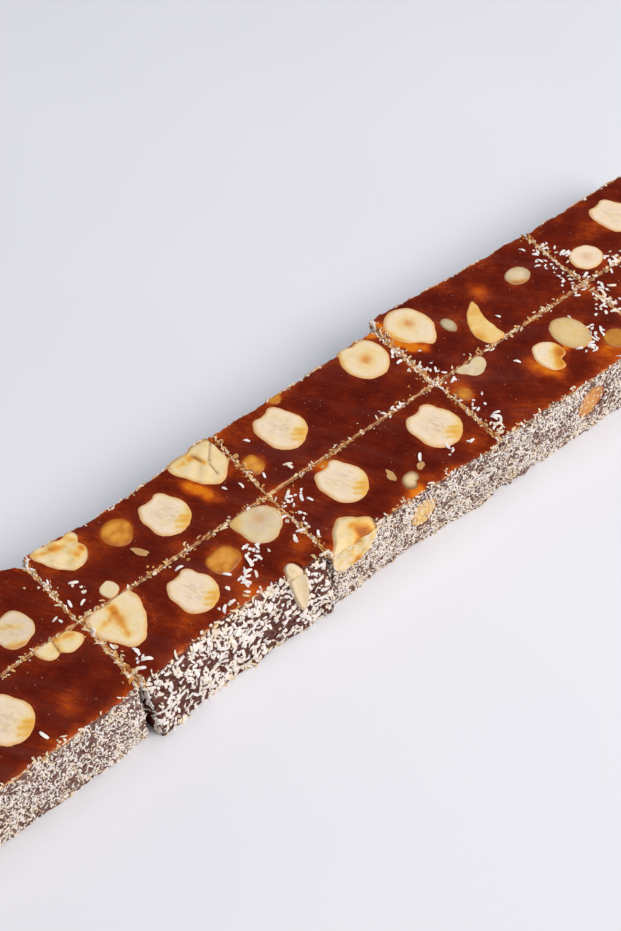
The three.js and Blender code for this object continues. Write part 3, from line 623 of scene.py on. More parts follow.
nuts = {
    "back_nut_1_block": {
        "form": "block", "turn": 12, "veil": 0.2, "wet": (-110, 0.5, 0.8), "speckled": 1,
        "washes": [[(-2, 2.4), (1.4, 0)]]},
    "back_nut_1_bitten": bitten,
    "back_nut_1_amber": {"form": "block", "turn": 30, "amber": True},
    "back_nut_2_corner_start": {
        "outline": [(-5.6, 4.8), (2.3, 4.1), (4.4, 4.9), (5.6, 2.8), (4.4, 0.9), (5.1, -1.2), (3.8, -3.9),
                    (0.4, -4.9), (-2.3, -3), (-4.6, 0.7)],
        "at": (-68.6, 15.8), "sideCoat": 0.9, "soak": 0.1, "craggy": 0.6, "proud": 0.3,
        "stains": [(-0.5, 2.6, 1.4, 0.4), (4.2, -1.0, 1.0, 0.8), (0.6, -2.6, 1.2, 0.2)],
        "washes": [[(-4.6, 3.4), (-1.5, 2.9), (1.2, 1.9)], [(1.6, -0.4), (2.6, -2.2)],
                   [(2.6, 3.8), (4, 1.4)]]},
    "back_nut_2_amber": {
        "outline": [(0, 3.9), (3.6, 1.5), (2.6, -2.3), (0.3, -3.9), (-2.8, -1.9), (-3, 2.2)],
        "at": (-56.6, 13), "amber": True},
    "back_nut_2_bitten": bitten,
    "back_nut_2_corner_end": {
        "outline": [(-6.6, 4.7), (-0.7, 5.3), (4, 6.9), (6.4, 3.6), (6.1, -1.5), (3.7, -4.5), (0, -6.9),
                    (-2.6, -5.2), (-5.2, -1)],
        "at": (-31.1, 16), "sideCoat": 0.9, "proud": 1, "craggy": 0.4, "rounded": 1.2, "skin": 0.15,
        "soak": 0.14, "wet": (-150, 0.5, 0.3), "slit": [(-0.4, 3.6), (0.2, 0.9)],
        "washes": [[(-1.2, 4.2), (0, 2), (0.4, 0.2)], [(-4.6, 3.2), (-1.8, 2.6)]],
        "crack": [(5.8, 4.6), (3.9, 2.5), (2.2, 0.7), (1.2, -0.9), (1.1, -2.4), (0.9, -4.4)]},
    "back_nut_2_chip": {
        "form": "block", "turn": 20, "at": (-66.2, 2.4), "size": (4.1, 4.4), "soak": 0.06, "veil": 0.15},
    "back_nut_3_amber": {"form": "block", "turn": 10, "amber": True},
    "back_nut_3_bitten": bitten,
    "back_nut_3_edge": {"form": "oval", "at": (-7, 20.9), "size": (3.8, 4.4), "amber": True},
    "back_nut_3_round": {
        "outline": [(-3.6, 5.9), (0.3, 5), (3.4, 5.1), (5.6, 1.4), (4.2, -4.4), (1, -6.4), (-4.1, -4.8),
                    (-5.8, -1), (-4.8, 3.6)],
        "at": (17.1, 16.3), "sideCoat": 0.9, "proud": 0.6, "soak": 0.06, "wet": (160, 0.35, 0.3),
        "core": [(0.1, -0.3, 1.3, 0.9)], "stains": [(0.1, -0.3, 2.6, 0.25)]},
    "back_nut_4_round": {
        "outline": [(-3.3, 6.2), (-0.8, 7.2), (3.2, 5.7), (5.5, 1.6), (4.2, -4.2), (0.6, -7.2), (-1.4, -5.3),
                    (-4.6, -2.4), (-5.5, 3.2)],
        "at": (32.2, 16.6), "sideCoat": 0.9, "soak": 0.04, "wet": (-160, 0.5, 0.6),
        "core": [(0.5, 1.4, 1.3, 0.85)], "stains": [(0.5, 1.4, 2.6, 0.22)]},
    "back_nut_4_chip": {"form": "oval", "turn": 5, "soak": 0.1, "veil": 0.5, "drowned": 0.5},
    "back_nut_4_claw": {
        "outline": [(0, 6.6), (1.5, 5), (2.3, 2.4), (2.8, -0.6), (2.9, -3.6), (2.3, -6.2), (-2.3, -6.4),
                    (-2.9, -3.6), (-2.8, -0.6), (-2.3, 2.4), (-1.5, 5)],
        "bend": (0.054, -2.5), "at": (45, 7), "soak": 0.3,
        "stains": [(2.2, 3.6, 2.4, 0.2), (-2.4, -3.2, 1.6, 0.3), (-1.8, 1.2, 1.4, 0.2)]},
    "back_nut_4_pale": {
        "form": "oval", "turn": -10, "at": (64.2, 12.5), "size": (7, 5.8), "soak": 0.08, "veil": 0.3,
        "wet": (-125, 0.8, 0.85), "drowned": 0.35},
    "back_nut_5_oval": {"form": "oval", "turn": -20, "core": [(0, 0, 1.4, 0.4)]},
    "back_nut_5_bitten": bitten,
    "back_nut_5_wedge": {"form": "wedge", "turn": 70, "soak": 0.12},
    "front_nut_1_twin": {
        "outline": [(-5, 2), (-4.5, -0.8), (-2.6, -2.5), (-0.8, -2), (2.4, -3.4), (5.2, -1.9), (3.9, 1.2),
                    (0.6, 2.6)],
        "at": (-81.8, -1.8), "craggy": 0.3, "soak": 0.14, "crack": [(-0.4, 2.4), (-0.7, 0), (-0.9, -2.6)],
        "washes": [[(-0.2, 2), (-0.5, -2)], [(0.6, 1.6), (3.4, 0)]]},
    "front_nut_1_bitten": bitten,
    "front_nut_1_oval": {"form": "oval", "turn": 35, "core": [(0, 0, 1.5, 0.5)]},
    "front_nut_2_wedge": {
        "form": "wedge", "at": (-68.7, -5.8), "soak": 0.06, "wet": (-60, 0.35, 0.35),
        "core": [(-0.1, 0.7, 1.3, 0.55)],
        "stains": [(-0.1, 0.7, 2.4, 0.25), (0.2, 4.2, 1.2, 0.5), (-0.3, -3, 1.6, 0.12)],
        "washes": [[(0.4, 3.6), (-0.1, 0.7), (-1.1, -3.4)], [(-4.4, 1.6), (-0.4, 2.4)]]},
    "front_nut_2_bitten": bitten,
    "front_nut_2_amber": {"form": "block", "turn": 12, "amber": True},
    "front_nut_2_flat": {
        "outline": [(-5.2, 4.4), (0, 5), (4, 3), (5.4, 0.2), (2.5, -3.8), (0.2, -5), (-3.8, -3.6),
                    (-4.9, 0.6)],
        "at": (-31.5, -5), "soak": 0.08, "veil": 0.3, "wet": (150, 0.4, 0.35),
        "core": [(0.7, 1.5, 1.6, 0.6)]},
    "front_nut_2_rim": {
        "form": "oval", "turn": -12, "at": (-33.6, -18.6), "size": (4.4, 5.6), "depth": 12, "proud": 1.2,
        "hangs": 1, "worn": 0.9, "wornFrom": 0.54, "rounded": 1.8, "roundedOver": 1.5, "skin": 0.02,
        "soak": 0.04, "veil": 0.15},
    "front_nut_3_bitten_start": bitten,
    "front_nut_3_bitten_end": bitten,
    "front_nut_3_corner": {
        "outline": [(-1.3, 4), (1.4, 5.2), (4.5, 3), (7.2, 0.2), (6, -2.6), (2, -4.6), (-2.6, -5.4),
                    (-7.2, -4.2), (-4.3, 0.5)],
        "at": (-18.7, -19.5), "depth": 9, "proud": 0.8, "craggy": 0.6, "rugged": 0.9, "worn": 0.5,
        "wornFrom": 0.7, "rounded": 1.6, "roundedOver": 0.9, "skin": -0.05, "soak": 0.14,
        "stains": [(3.4, -0.6, 2.4, 0.5), (0.6, -2.8, 1.6, 0.42)], "pit": [(2.8, -1, 1, 0.6)],
        "washes": [[(2.0, 1.6), (2.8, -0.6), (4.4, -1.2)], [(2.8, -0.6), (0.8, -2.4), (-0.8, -3.8)]]},
    "front_nut_3_pale": {
        "outline": [(-2, 1.2), (0, 2.2), (2, 1.6), (2.2, -0.2), (0.6, -1.2), (-0.6, -2.4), (-2.2, -1.6)],
        "at": (1.4, -17.2), "depth": 2, "soak": 0.16, "veil": 0.15, "drowned": 0.9},
    "front_nut_3_side": {
        "form": "oval", "onSide": True, "at": (2, 10.6), "size": (8, 8.6), "depth": 3.4, "soak": 0.36,
        "coat": 0.62},
    "front_nut_4_crossing": {
        "outline": [(-4.2, 2), (0.1, 2), (4, 1.8), (1.9, -1.8), (-1, -2), (-2.8, 0)], "at": (34.7, -2.6),
        "craggy": 0.4, "soak": 0.08, "veil": 0.3},
    "front_nut_4_amber": {"form": "oval", "amber": True, "drowned": 0.4},
    "front_nut_4_glowing": {
        "outline": [(-1, 4.7), (2.4, 3.6), (3.8, 0.1), (3.4, -1.7), (1.2, -2.6), (0.4, -4.7), (-2.6, -4.2),
                    (-3.8, -1.5), (-3.5, 2)],
        "at": (51.5, -11.1), "wet": (-38, 1.1, 0.9),
        "stains": [(1.4, -0.8, 1.8, 0.5), (-1.2, -3.6, 1.6, 0.4)]},
    "front_nut_4_olive": {"form": "oval", "turn": 12, "soak": 0.26, "veil": 0.2, "drowned": 0.2},
    "front_nut_4_end": {
        "form": "oval", "at": (67.4, -17.4), "size": (6.6, 6), "amber": True, "soak": -0.4, "veil": 0.4},
    "front_nut_4_side": {
        "form": "oval", "onSide": True, "at": (54.6, 10.2), "size": (9.6, 9.6), "depth": 4, "amber": True,
        "coat": 0.2},
    "front_nut_5_oval": {"form": "oval", "turn": 25, "core": [(0, 0, 1.5, 0.5)]},
    "front_nut_5_bitten": bitten,
    "front_nut_5_amber": {"form": "block", "at": (118.5, -14.5), "size": (6.8, 7), "amber": True},
}
nuts = {nodeName: {**plainNut, **look} for nodeName, look in nuts.items()}


def cutHalfKernel():
    # Half a round kernel of radius 1 mm, cut flat on top, with rings of faces across the cut.
    deselectAll()
    bpy.ops.mesh.primitive_uv_sphere_add(segments=nutShape["segments"], ring_count=nutShape["rings"],
                                         radius=mm)
    piece = bpy.context.active_object
    setMode("EDIT")
    bpy.ops.mesh.select_mode(type="FACE")
    bpy.ops.mesh.select_all(action="SELECT")
    bpy.ops.mesh.bisect(plane_co=(0, 0, -0.01 * mm), plane_no=(0, 0, 1), use_fill=True, clear_outer=True,
                        threshold=1e-7)
    bpy.ops.mesh.select_all(action="SELECT")
    bpy.ops.mesh.normals_make_consistent(inside=False)
    setMode("OBJECT")
    for face in piece.data.polygons:
        face.select = face.normal.z > 0.99
    setMode("EDIT")
    for _ in range(nutShape["insets"]):
        bpy.ops.mesh.inset(thickness=mm / (nutShape["insets"] + 1))
    bpy.ops.mesh.poke()
    setMode("OBJECT")
    piece.name = "cutHalfKernel"
    return piece


halfKernel = cutHalfKernel()


def outlineRadius(outline, angle):
    # How far a smooth closed curve through the outline's points lies from its middle in each direction.
    corners = sorted((math.atan2(y, x), math.hypot(x, y)) for x, y in outline)
    where, reach = np.array(corners[-2:] + corners + corners[:2]).T
    where[:2] -= 2 * math.pi
    where[-2:] += 2 * math.pi
    slope = np.gradient(reach, where)
    after = np.clip(np.searchsorted(where, angle), 1, len(where) - 1)
    before = after - 1
    span = where[after] - where[before]
    t = (angle - where[before]) / span
    ease = t * t * (3 - 2 * t)
    lean = nutShape["smooth"] * t * (1 - t) * ((1 - t) * slope[before] - t * slope[after]) * span
    return reach[before] * (1 - ease) + reach[after] * ease + lean


def sliceOf(nodeName):
    words = nodeName.split("_")
    return words[0] + "_slice_" + words[2]


def cutFace(nodeName, look, angle, radius, number):
    # The face's points off its middle, the middle, and the face's size.
    low, high = (np.array(corner)[:2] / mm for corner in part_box(nodeName))
    around = np.stack([np.cos(angle) * 2.4, np.sin(angle) * 2.4, np.full(len(angle), number * 3.7)], 1)
    rough = np.array([noise.noise(Vector(p)) for p in around])
    outline = look.get("outline") or forms[look["form"]]
    reach = outlineRadius(outline, angle) * (1 + nutShape["uneven"] * rough)
    turn = math.radians(look["turn"])
    x = reach * radius * np.cos(angle + turn)
    y = reach * radius * np.sin(angle + turn)
    rate, about = look["bend"]
    x = x + rate * (y - about) ** 2
    size = (np.ptp(x), np.ptp(y))
    if "size" in look or "at" not in look:
        drawn = look.get("size", high - low)
        x = (x - x.min()) / size[0] * drawn[0] - drawn[0] / 2
        y = (y - y.min()) / size[1] * drawn[1] - drawn[1] / 2
        size = drawn
    return x, y, np.array(look.get("at", (low + high) / 2)), size


def setInSide(shape, x, y, z, middle):
    # A kernel in the slice's outer side, its face turned out.
    placed = np.stack([x + middle[0], np.zeros(len(x)), y + middle[1]], 1)
    u = (placed[:, 0] - shape["start"][1]) / (shape["end"][1] - shape["start"][1])
    placed[:, 1] = skinPoints(shape, u, np.ones(len(u)), placed[:, 2] / bar["height"])[:, 1]
    placed[:, 1] += shape["row"] * (z - nutShape["sideSunk"])
    return placed


def setInTop(look, shape, x, y, z, middle, face, spot):
    # A kernel in the slice's top, kept within its sides, and which of its points lie in the outer side.
    x, y, z = x + middle[0], y + middle[1], z + bar["height"]
    row = shape["row"]
    u = np.clip((x - shape["start"][1]) / (shape["end"][1] - shape["start"][1]), 0, 1)
    outermost = np.ones(len(u))
    limit = np.abs(skinPoints(shape, u, outermost, np.clip(z / bar["height"], 0, 1))[:, 1])
    flare = limit - np.abs(skinPoints(shape, u, outermost, outermost)[:, 1])
    y = y + row * look["hangs"] * flare
    limit = limit + look["proud"] * np.clip(patchy(spot, 2, 8) + 0.4, 0, 1) - nutShape["clear"]
    fromSide = np.maximum(0, limit - np.abs(y))
    z = z - np.where(face, look["rounded"] * np.exp(-fromSide / look["roundedOver"]), 0)
    y = row * np.clip(row * y, bar["kerf"] / 2 + nutShape["clear"], limit)
    x = np.clip(x, shape["start"][0] + 2 * nutShape["clear"], shape["end"][0] - 2 * nutShape["clear"])
    placed = np.stack([x, y, z], 1)
    lumps = patchy(placed, 2, 23) + 0.5 * patchy(placed, 0.8, 24) - 0.75
    atSide = limit - np.abs(y) < nutShape["clear"]
    placed[:, 1] += row * np.where(atSide, look["rugged"] * lumps, 0)
    return placed, atSide


def soakedBy(look, x, y, size, radius, face, spot, placed):
    # How much syrup each point has taken up.
    soak = look["soak"] + spots(x, y, look["stains"]) * np.where(face, 1, 0.5)
    soak = soak + np.where(face, 0, look["skin"])
    soak = soak + look["rugged"] * np.where(face, 0, patchy(placed, 1.4, 25) - 0.4)
    if "wet" in look:
        angle, wide, strength = look["wet"]
        angle = math.radians(angle)
        toward = (x * math.cos(angle) / size[0] + y * math.sin(angle) / size[1]) * 2
        soak = soak + strength * smoothStep(1 - wide, 1, toward + 0.2 * (patchy(spot, 1.5, 9) - 0.5))
    for line in look["washes"]:
        wash = nutShape["washSoak"] * nearLine(x, y, line, nutShape["washWidth"])
        soak = soak + wash * (0.3 + 1.4 * patchy(spot, 0.9, 26))
    if look["amber"]:
        soak = soak + nutShape["amberSoak"] + nutShape["amberRim"] * smoothStep(0.55, 1, radius)
        soak = soak + nutShape["amberPatches"] * (patchy(spot, 1.6, 27) - 0.5)
    return soak


cutFaces = {}  # where each kernel's face is, for the jelly round it


def cutNut(nodeName, look, number):
    piece = copyOf(halfKernel, nodeName.replace("nut", "hazelnut"))
    shape = slices[sliceOf(nodeName)]
    points = readPoints(piece)
    angle = np.arctan2(points[:, 1], points[:, 0])
    radius = np.hypot(points[:, 0], points[:, 1])
    face = points[:, 2] > -0.02
    x, y, middle, size = cutFace(nodeName, look, angle, radius, number)
    z = np.where(face, 0, points[:, 2] * look.get("depth", 0.45 * min(size) + 0.6))
    spot = np.stack([x, y, np.full(len(x), number * 5.3)], 1)
    crack = np.maximum(nearLine(x, y, look["crack"], nutShape["crackWidth"]),
                       nearLine(x, y, look["slit"], nutShape["slitWidth"]))
    pit = spots(x, y, look["pit"])
    wobble = 1 + 0.5 * (patchy(spot, 1.2, 6) - 0.5)
    core = spots(x * wobble, y * wobble, look["core"])
    relief = bumps(spot, nutShape["relief"])
    relief = relief - look["craggy"] * np.maximum(0, 1.3 * patchy(spot, 2.6, 21) - 0.35)
    worn = look["worn"] * smoothStep(look["wornFrom"], 1, radius)
    z = z + np.where(face, nutShape["proud"] + relief - worn - 0.25 * crack - 0.9 * pit - 0.15 * core, 0)
    if look["onSide"]:
        placed, atSide = setInSide(shape, x, y, z, middle), face
    else:
        placed, atSide = setInTop(look, shape, x, y, z, middle, face, spot)
    writePoints(piece, insideBox(placed))
    streak = np.zeros(len(x))
    for line in look["strokes"]:
        streak = np.maximum(streak, nearLine(x, y, line, nutShape["strokeWidth"]))
    drowned = look["drowned"] * smoothStep(0.3, 1, radius)
    hidden = np.where(~face & atSide, look["sideCoat"], 0)
    paint(piece, {
        "rim": np.where(face, radius, 0.5), "core": core, "streak": np.where(face, streak, 0),
        "soak": soakedBy(look, x, y, size, radius, face, spot, placed), "speckled": look["speckled"],
        "veil": look["veil"] * (0.5 + patchy(spot, 2, 7)),
        "crack": np.clip(np.maximum(crack * 0.7 + pit * 0.7, drowned), 0, 1),
        "coat": np.where(face, look["coat"] * smoothStep(0.1, 1, radius), hidden),
        "coarse": 0, "grit": np.where(face, look["coat"], 0), "flake": 0.8, "warm": 0.3})
    piece.data.materials.append(amberNut if look["amber"] else creamNut)
    smoothed(piece, 50)
    cutFaces[nodeName] = {"points": face, "middle": middle, "radius": (size[0] + size[1]) / 4}
    return piece


nutPieces = {}
for number, (nodeName, look) in enumerate(nuts.items()):
    nutPieces[nodeName] = cutNut(nodeName, look, number)


# Small bits broken off the kernels: x, y, length, width and turn.
bits = [(-55.7, 5.9, 4, 1.5, -62), (-1.3, -13.5, 3.3, 1.7, 80), (5.6, -15.6, 2, 1.8, 20),
        (-24.2, 13, 1.4, 1.2, 0)]


def hazelnutBits():
    pieces = []
    for x, y, length, width, turn in bits:
        bit = copyOf(halfKernel, "bit")
        points = readPoints(bit)
        points[:, :2] *= 0.6 + 0.8 * patchy(points + [x, y, 0], 0.8, 22)[:, None]
        writePoints(bit, points)
        bit.scale = (length / 2, width / 2, width / 3)
        bit.rotation_euler = (0, 0, math.radians(turn))
        bit.location = Vector((x, y, bar["height"] + nutShape["proud"])) * mm
        makeActive(bit)
        bpy.ops.object.transform_apply(location=True, rotation=True, scale=True)
        pieces.append(bit)
    piece = joined(pieces, "hazelnut_bits")
    paint(piece, {"soak": 0.7, "veil": 0.45})
    piece.data.materials.append(creamNut)
    return piece


nutBits = hazelnutBits()
bpy.data.objects.remove(halfKernel)
print("hazelnuts cut:", len(nutPieces))


# ---- What is painted on the jelly
# edgeGlow: strength and reach of the light at each thin edge. amberGlow, creamGlow: round a kernel.
# near: how close to a side counts as its skin. endCoat, cornerCoat: how full the coconut is on the
# bar's own ends, and on any end close to the outer side. drifts: x, y, half spread each way and
# fullness of the loose coconut on top.

paintLook = {
    "edgeGlow": {"outer": (0.5, 2.2), "cut": (0.3, 1.8), "ends": (0.36, 2)},
    "amberGlow": 0.34, "creamGlow": 0.2, "nutReach": 0.7, "near": 0.9, "endCoat": 0.85,
    "cornerCoat": 0.8, "cornerReach": 2.5, "burrReach": 0.5, "crumbReach": 0.4, "coatDensity": 0.9,
    "creepDensity": 0.7,
}
drifts = [
    (-73, 12, 4, 9, 0.35), (-79, 2, 5, 2, 0.5), (-70, -12, 5, 7, 0.25), (-42, -13, 3, 2.4, 0.5),
    (-36, -10, 4, 3, 0.35), (-48, -15, 5, 3, 0.3), (-31, 7, 4, 3, 0.2), (-24.5, -6, 3.4, 5, 1.1),
    (-28, -1.6, 4, 1.6, 1.2), (-21.5, -4.5, 2.6, 3, 1.0), (-26, -11, 3, 5, 0.7), (-18, 3, 8, 2, 0.1),
    (13, 0, 5, 1.3, 0.7), (26, 6, 4, 9, 0.5), (25.4, 9, 1.6, 8, 1.0), (24, 1, 4, 4, 0.7),
    (28, -10, 3, 4, 0.5), (26.3, -18.4, 3, 3.4, 1.2), (18, -17, 6, 3, 0.3), (64, -13, 6, 6, 0.6),
    (75, 3, 5, 16, 0.9), (77, 7, 5, 5, 1.0), (84, 1.8, 5, 3, 1.0), (102, -3, 18, 8, 0.15),
    (-108, 1, 14, 8, 0.15), (0, 0, 124, 22, 0.007),
]


def glowOf(name, shape, points, away):
    # Painted glow of light shining through the jelly: at its edges, round its kernels and in its thin places.
    glow = np.zeros(len(points))
    for edge, (strength, reach) in paintLook["edgeGlow"].items():
        glow = glow + strength * np.exp(-away[edge] / reach)
    glow = glow * np.clip(1.9 * patchy(points, 6, 11) - 0.35, 0.1, 1.2)
    for nodeName, look in nuts.items():
        if sliceOf(nodeName) == name and not look["onSide"]:
            face = cutFaces[nodeName]
            gap = np.maximum(np.hypot(*(points[:, :2] - face["middle"]).T) - face["radius"], 0)
            strength = paintLook["amberGlow" if look["amber"] else "creamGlow"]
            glow = glow + strength * np.exp(-gap / paintLook["nutReach"])
    wobble = 0.7 + 0.6 * patchy(points, 2.2, 12)
    thin = [(x, y, reach * wobble, strength) for x, y, reach, strength in shape["glows"]]
    return glow + spots(points[:, 0], points[:, 1], thin)


def coatOf(shape, points, normals, away, outerEnds, top):
    # How full the coconut is on the outer side and the ends.
    near = paintLook["near"]
    outerSide = (away["outer"] < near) & (np.abs(normals[:, 1]) > 0.4) & ~top
    coat = np.where(outerSide, shape["coat"], 0.0)
    for end, isOuter in outerEnds.items():
        amount = paintLook["endCoat"] if isOuter else shape[end + "Coat"]
        endWall = (away[end] < near) & (np.abs(normals[:, 0]) > 0.4) & ~top
        rise = 1 if isOuter else smoothStep(4, 12, points[:, 2])
        coat = np.where(endWall, np.maximum(coat, amount * rise), coat)
        corner = endWall & (away["outer"] < paintLook["cornerReach"])
        coat = np.where(corner, np.maximum(coat, paintLook["cornerCoat"]), coat)
    return coat


def driftOf(points):
    loose = np.zeros(len(points))
    for x, y, reachX, reachY, full in drifts:
        inside = np.maximum(np.abs(points[:, 0] - x) / reachX, np.abs(points[:, 1] - y) / reachY)
        loose = np.maximum(loose, full * (1 - smoothStep(0.6, 1.1, inside)))
    return loose * smoothStep(0.3, 0.7, patchy(points, 3, 17))


def paintJelly(name, shape, piece):
    points = readPoints(piece)
    normals = readNormals(piece)
    away = edgeDistances(shape, points)
    near = paintLook["near"]
    top = (points[:, 2] > bar["height"] - near) & (normals[:, 2] > 0.55)
    down = bar["height"] - points[:, 2]
    outerEnds = {"start": shape["column"] == 1, "end": shape["column"] == bar["columns"]}
    cutEnds = np.minimum(*(away[end] + (bar["pitch"] if outerEnds[end] else 0) for end in outerEnds))
    coat = coatOf(shape, points, normals, away, outerEnds, top)
    clumps = smoothStep(0.32, 0.6, patchy(points, 4, 13))
    cover = coat * (0.4 + 0.6 * clumps) * (1 - spots(points[:, 0], points[:, 2], shape["bare"]))
    cover = np.clip(cover, 0, 1)
    creepReach = 0.2 + bar["creep"][shape["row"]] * smoothStep(0.35, 0.75, patchy(points, 3.5, 18))
    creep = np.where(top, 1 - smoothStep(0.2, 1, away["outer"] / creepReach), 0)
    ragged = 0.4 + 1.2 * patchy(points, 1.2, 19)
    edge = np.minimum(away["cut"], cutEnds + 0.1)
    # The upper cut walls lie in the next slice's shadow: the burr colour on them is painted light, while on
    # the top edges it marks real burrs.
    wall = np.where(~top & (away["outer"] > near), 1 - smoothStep(1, 3.4, down), 0)
    burr = np.exp(-np.maximum(np.minimum(edge, away["outer"] + 0.15), 0) / paintLook["burrReach"])
    burr = burr * np.maximum(wall * (ragged + 0.5), top * ragged)
    crumb = top * np.exp(-np.maximum(edge, 0) / paintLook["crumbReach"])
    crumb = crumb * smoothStep(0.2, 0.7, patchy(points, 2.4, 14))
    across, along = knifeWay(shape, points)
    knife = np.stack([across + 0.8 * patchy(points, 14, 15), along * 0.13,
                      points[:, 2] + shape["column"] * 13 + shape["row"]], 1)
    upper = np.exp(-np.abs(down) / 1.2 - away["outer"] / 2)
    lower = np.exp(-points[:, 2] / 1.8)
    warm = 0.3 * patchy(points, 3, 16) - 0.12 + (0.7 * upper + 0.3 * lower) * patchy(points, 2.5, 20)
    shreds = cover * paintLook["coatDensity"] * (1 - shape["coarse"])
    glow = glowOf(name, shape, points, away)
    # The glow is painted light shining through the jelly, fading out down the sides.
    paint(piece, {
        "glow": np.clip(glow, 0, 1) * np.exp(-np.maximum(down - 1, 0) / 2.5),
        "dustAndShade": np.clip(coat * 1.1, 0, 1), "burr": np.clip(burr, 0, 1), "knife": knife,
        "coat": np.maximum(shreds, paintLook["creepDensity"] * creep), "coarse": cover * shape["coarse"],
        "crust": shape["crust"], "flake": shape["flake"] + 0.7 * wall * (cutEnds < near),
        "grit": cover * shape["grit"], "crumb": np.maximum(crumb, 0.8 * wall * (cutEnds < near)),
        "warm": warm, "drift": np.where(top, driftOf(points), 0)})


def pocketed(name, piece):
    # Cuts a pocket for each of the slice's hazelnuts, a hair smaller than the nut.
    fit = nutShape["pocketFit"]
    cutters = []
    for nodeName, nut in nutPieces.items():
        if sliceOf(nodeName) == name:
            cutter = copyOf(nut, "cutter")
            points = readPoints(cutter)
            middle = points.mean(axis=0)
            points = middle + (points - middle) * [fit, fit, 1]
            face = cutFaces[nodeName]["points"]
            if nuts[nodeName]["onSide"]:
                points[face, 1] += slices[name]["row"]
            else:
                points[face, 2] = bar["height"] + 1
            writePoints(cutter, points)
            cutters.append(cutter)
    tool = joined(cutters, "cutter")
    pockets = piece.modifiers.new("pockets", "BOOLEAN")
    pockets.operation = "DIFFERENCE"
    pockets.solver = "MANIFOLD"
    pockets.object = tool
    applyAll(piece)
    bpy.data.objects.remove(tool)


jellyPieces = {}
for name, shape in slices.items():
    piece = sliceBlock(name, shape)
    pocketed(name, piece)
    paintJelly(name, shape, piece)
    piece.data.materials.clear()
    piece.data.materials.append(jelly)
    smoothed(piece, 40)
    jellyPieces[name] = piece
    print("jelly", name, len(piece.data.polygons), "faces")


# ---- Coconut
# A kit is how often its flakes are cut along, and for each one its length, width, bend, the taper of
# its two ends, and its twist in degrees.

flakeThickness = 0.24
flakeKinds = {
    "flakes": (2, [
        (1.7, 0.5, 0.14, 0.4, 0.8, 20), (1.3, 0.6, -0.1, 0.8, 0.4, -25), (2.1, 0.46, 0.24, 0.4, 0.6, 15),
        (1.0, 0.55, 0.05, 0.5, 0.6, -30), (1.1, 0.75, 0.08, 0.9, 0.5, 25), (1.9, 0.4, -0.2, 0.6, 0.4, 10)]),
    "shreds": (2, [
        (1.9, 0.8, 0.14, 0.6, 0.8, 15), (1.4, 0.7, -0.08, 0.8, 0.5, -20), (1.0, 0.6, 0.05, 0.7, 0.9, 10),
        (2.2, 0.6, 0.2, 0.5, 0.6, -15), (1.2, 0.85, 0.06, 0.9, 0.6, 25)]),
    "curls": (3, [
        (2.6, 1.15, 0.2, 0.6, 0.8, 25), (2.0, 1.3, -0.12, 0.8, 0.5, -20), (3.2, 1.0, 0.3, 0.5, 0.6, 15),
        (1.5, 1.2, 0.08, 0.9, 0.7, -15)]),
    "grains": (0, [
        (0.9, 0.4, 0, 0.6, 0.9, 20), (0.6, 0.45, 0, 0.8, 0.6, -15), (1.2, 0.36, 0, 0.7, 0.5, 30)]),
}


def coconutFlake(number, bends, length, width, bend, startTaper, endTaper, twist):
    piece = newBox("flake_%d" % number, (length, width, flakeThickness))
    if bends:
        cutAlong(piece, 0, bends)
    points = readPoints(piece)
    t = points[:, 0] / length + 0.5
    taper = np.where(t < 0.25, startTaper, np.where(t > 0.75, endTaper, 1.0))
    lean = math.radians(twist) * (t - 0.5) * 2
    y, z = points[:, 1] * taper, points[:, 2] * (0.6 + 0.4 * taper)
    points[:, 1] = y * np.cos(lean) - z * np.sin(lean) + bend * 0.6 * (2 * t - 1) ** 2
    points[:, 2] = y * np.sin(lean) + z * np.cos(lean) + bend * (1 - (2 * t - 1) ** 2) + flakeThickness / 4
    writePoints(piece, points)
    return piece


kits = {}
for kitName, (bends, kinds) in flakeKinds.items():
    kits[kitName] = bpy.data.collections.new("coconut" + kitName.capitalize())
    for number, values in enumerate(kinds):
        flake = coconutFlake(number, bends, *values)
        for holder in list(flake.users_collection):
            holder.objects.unlink(flake)
        kits[kitName].objects.link(flake)


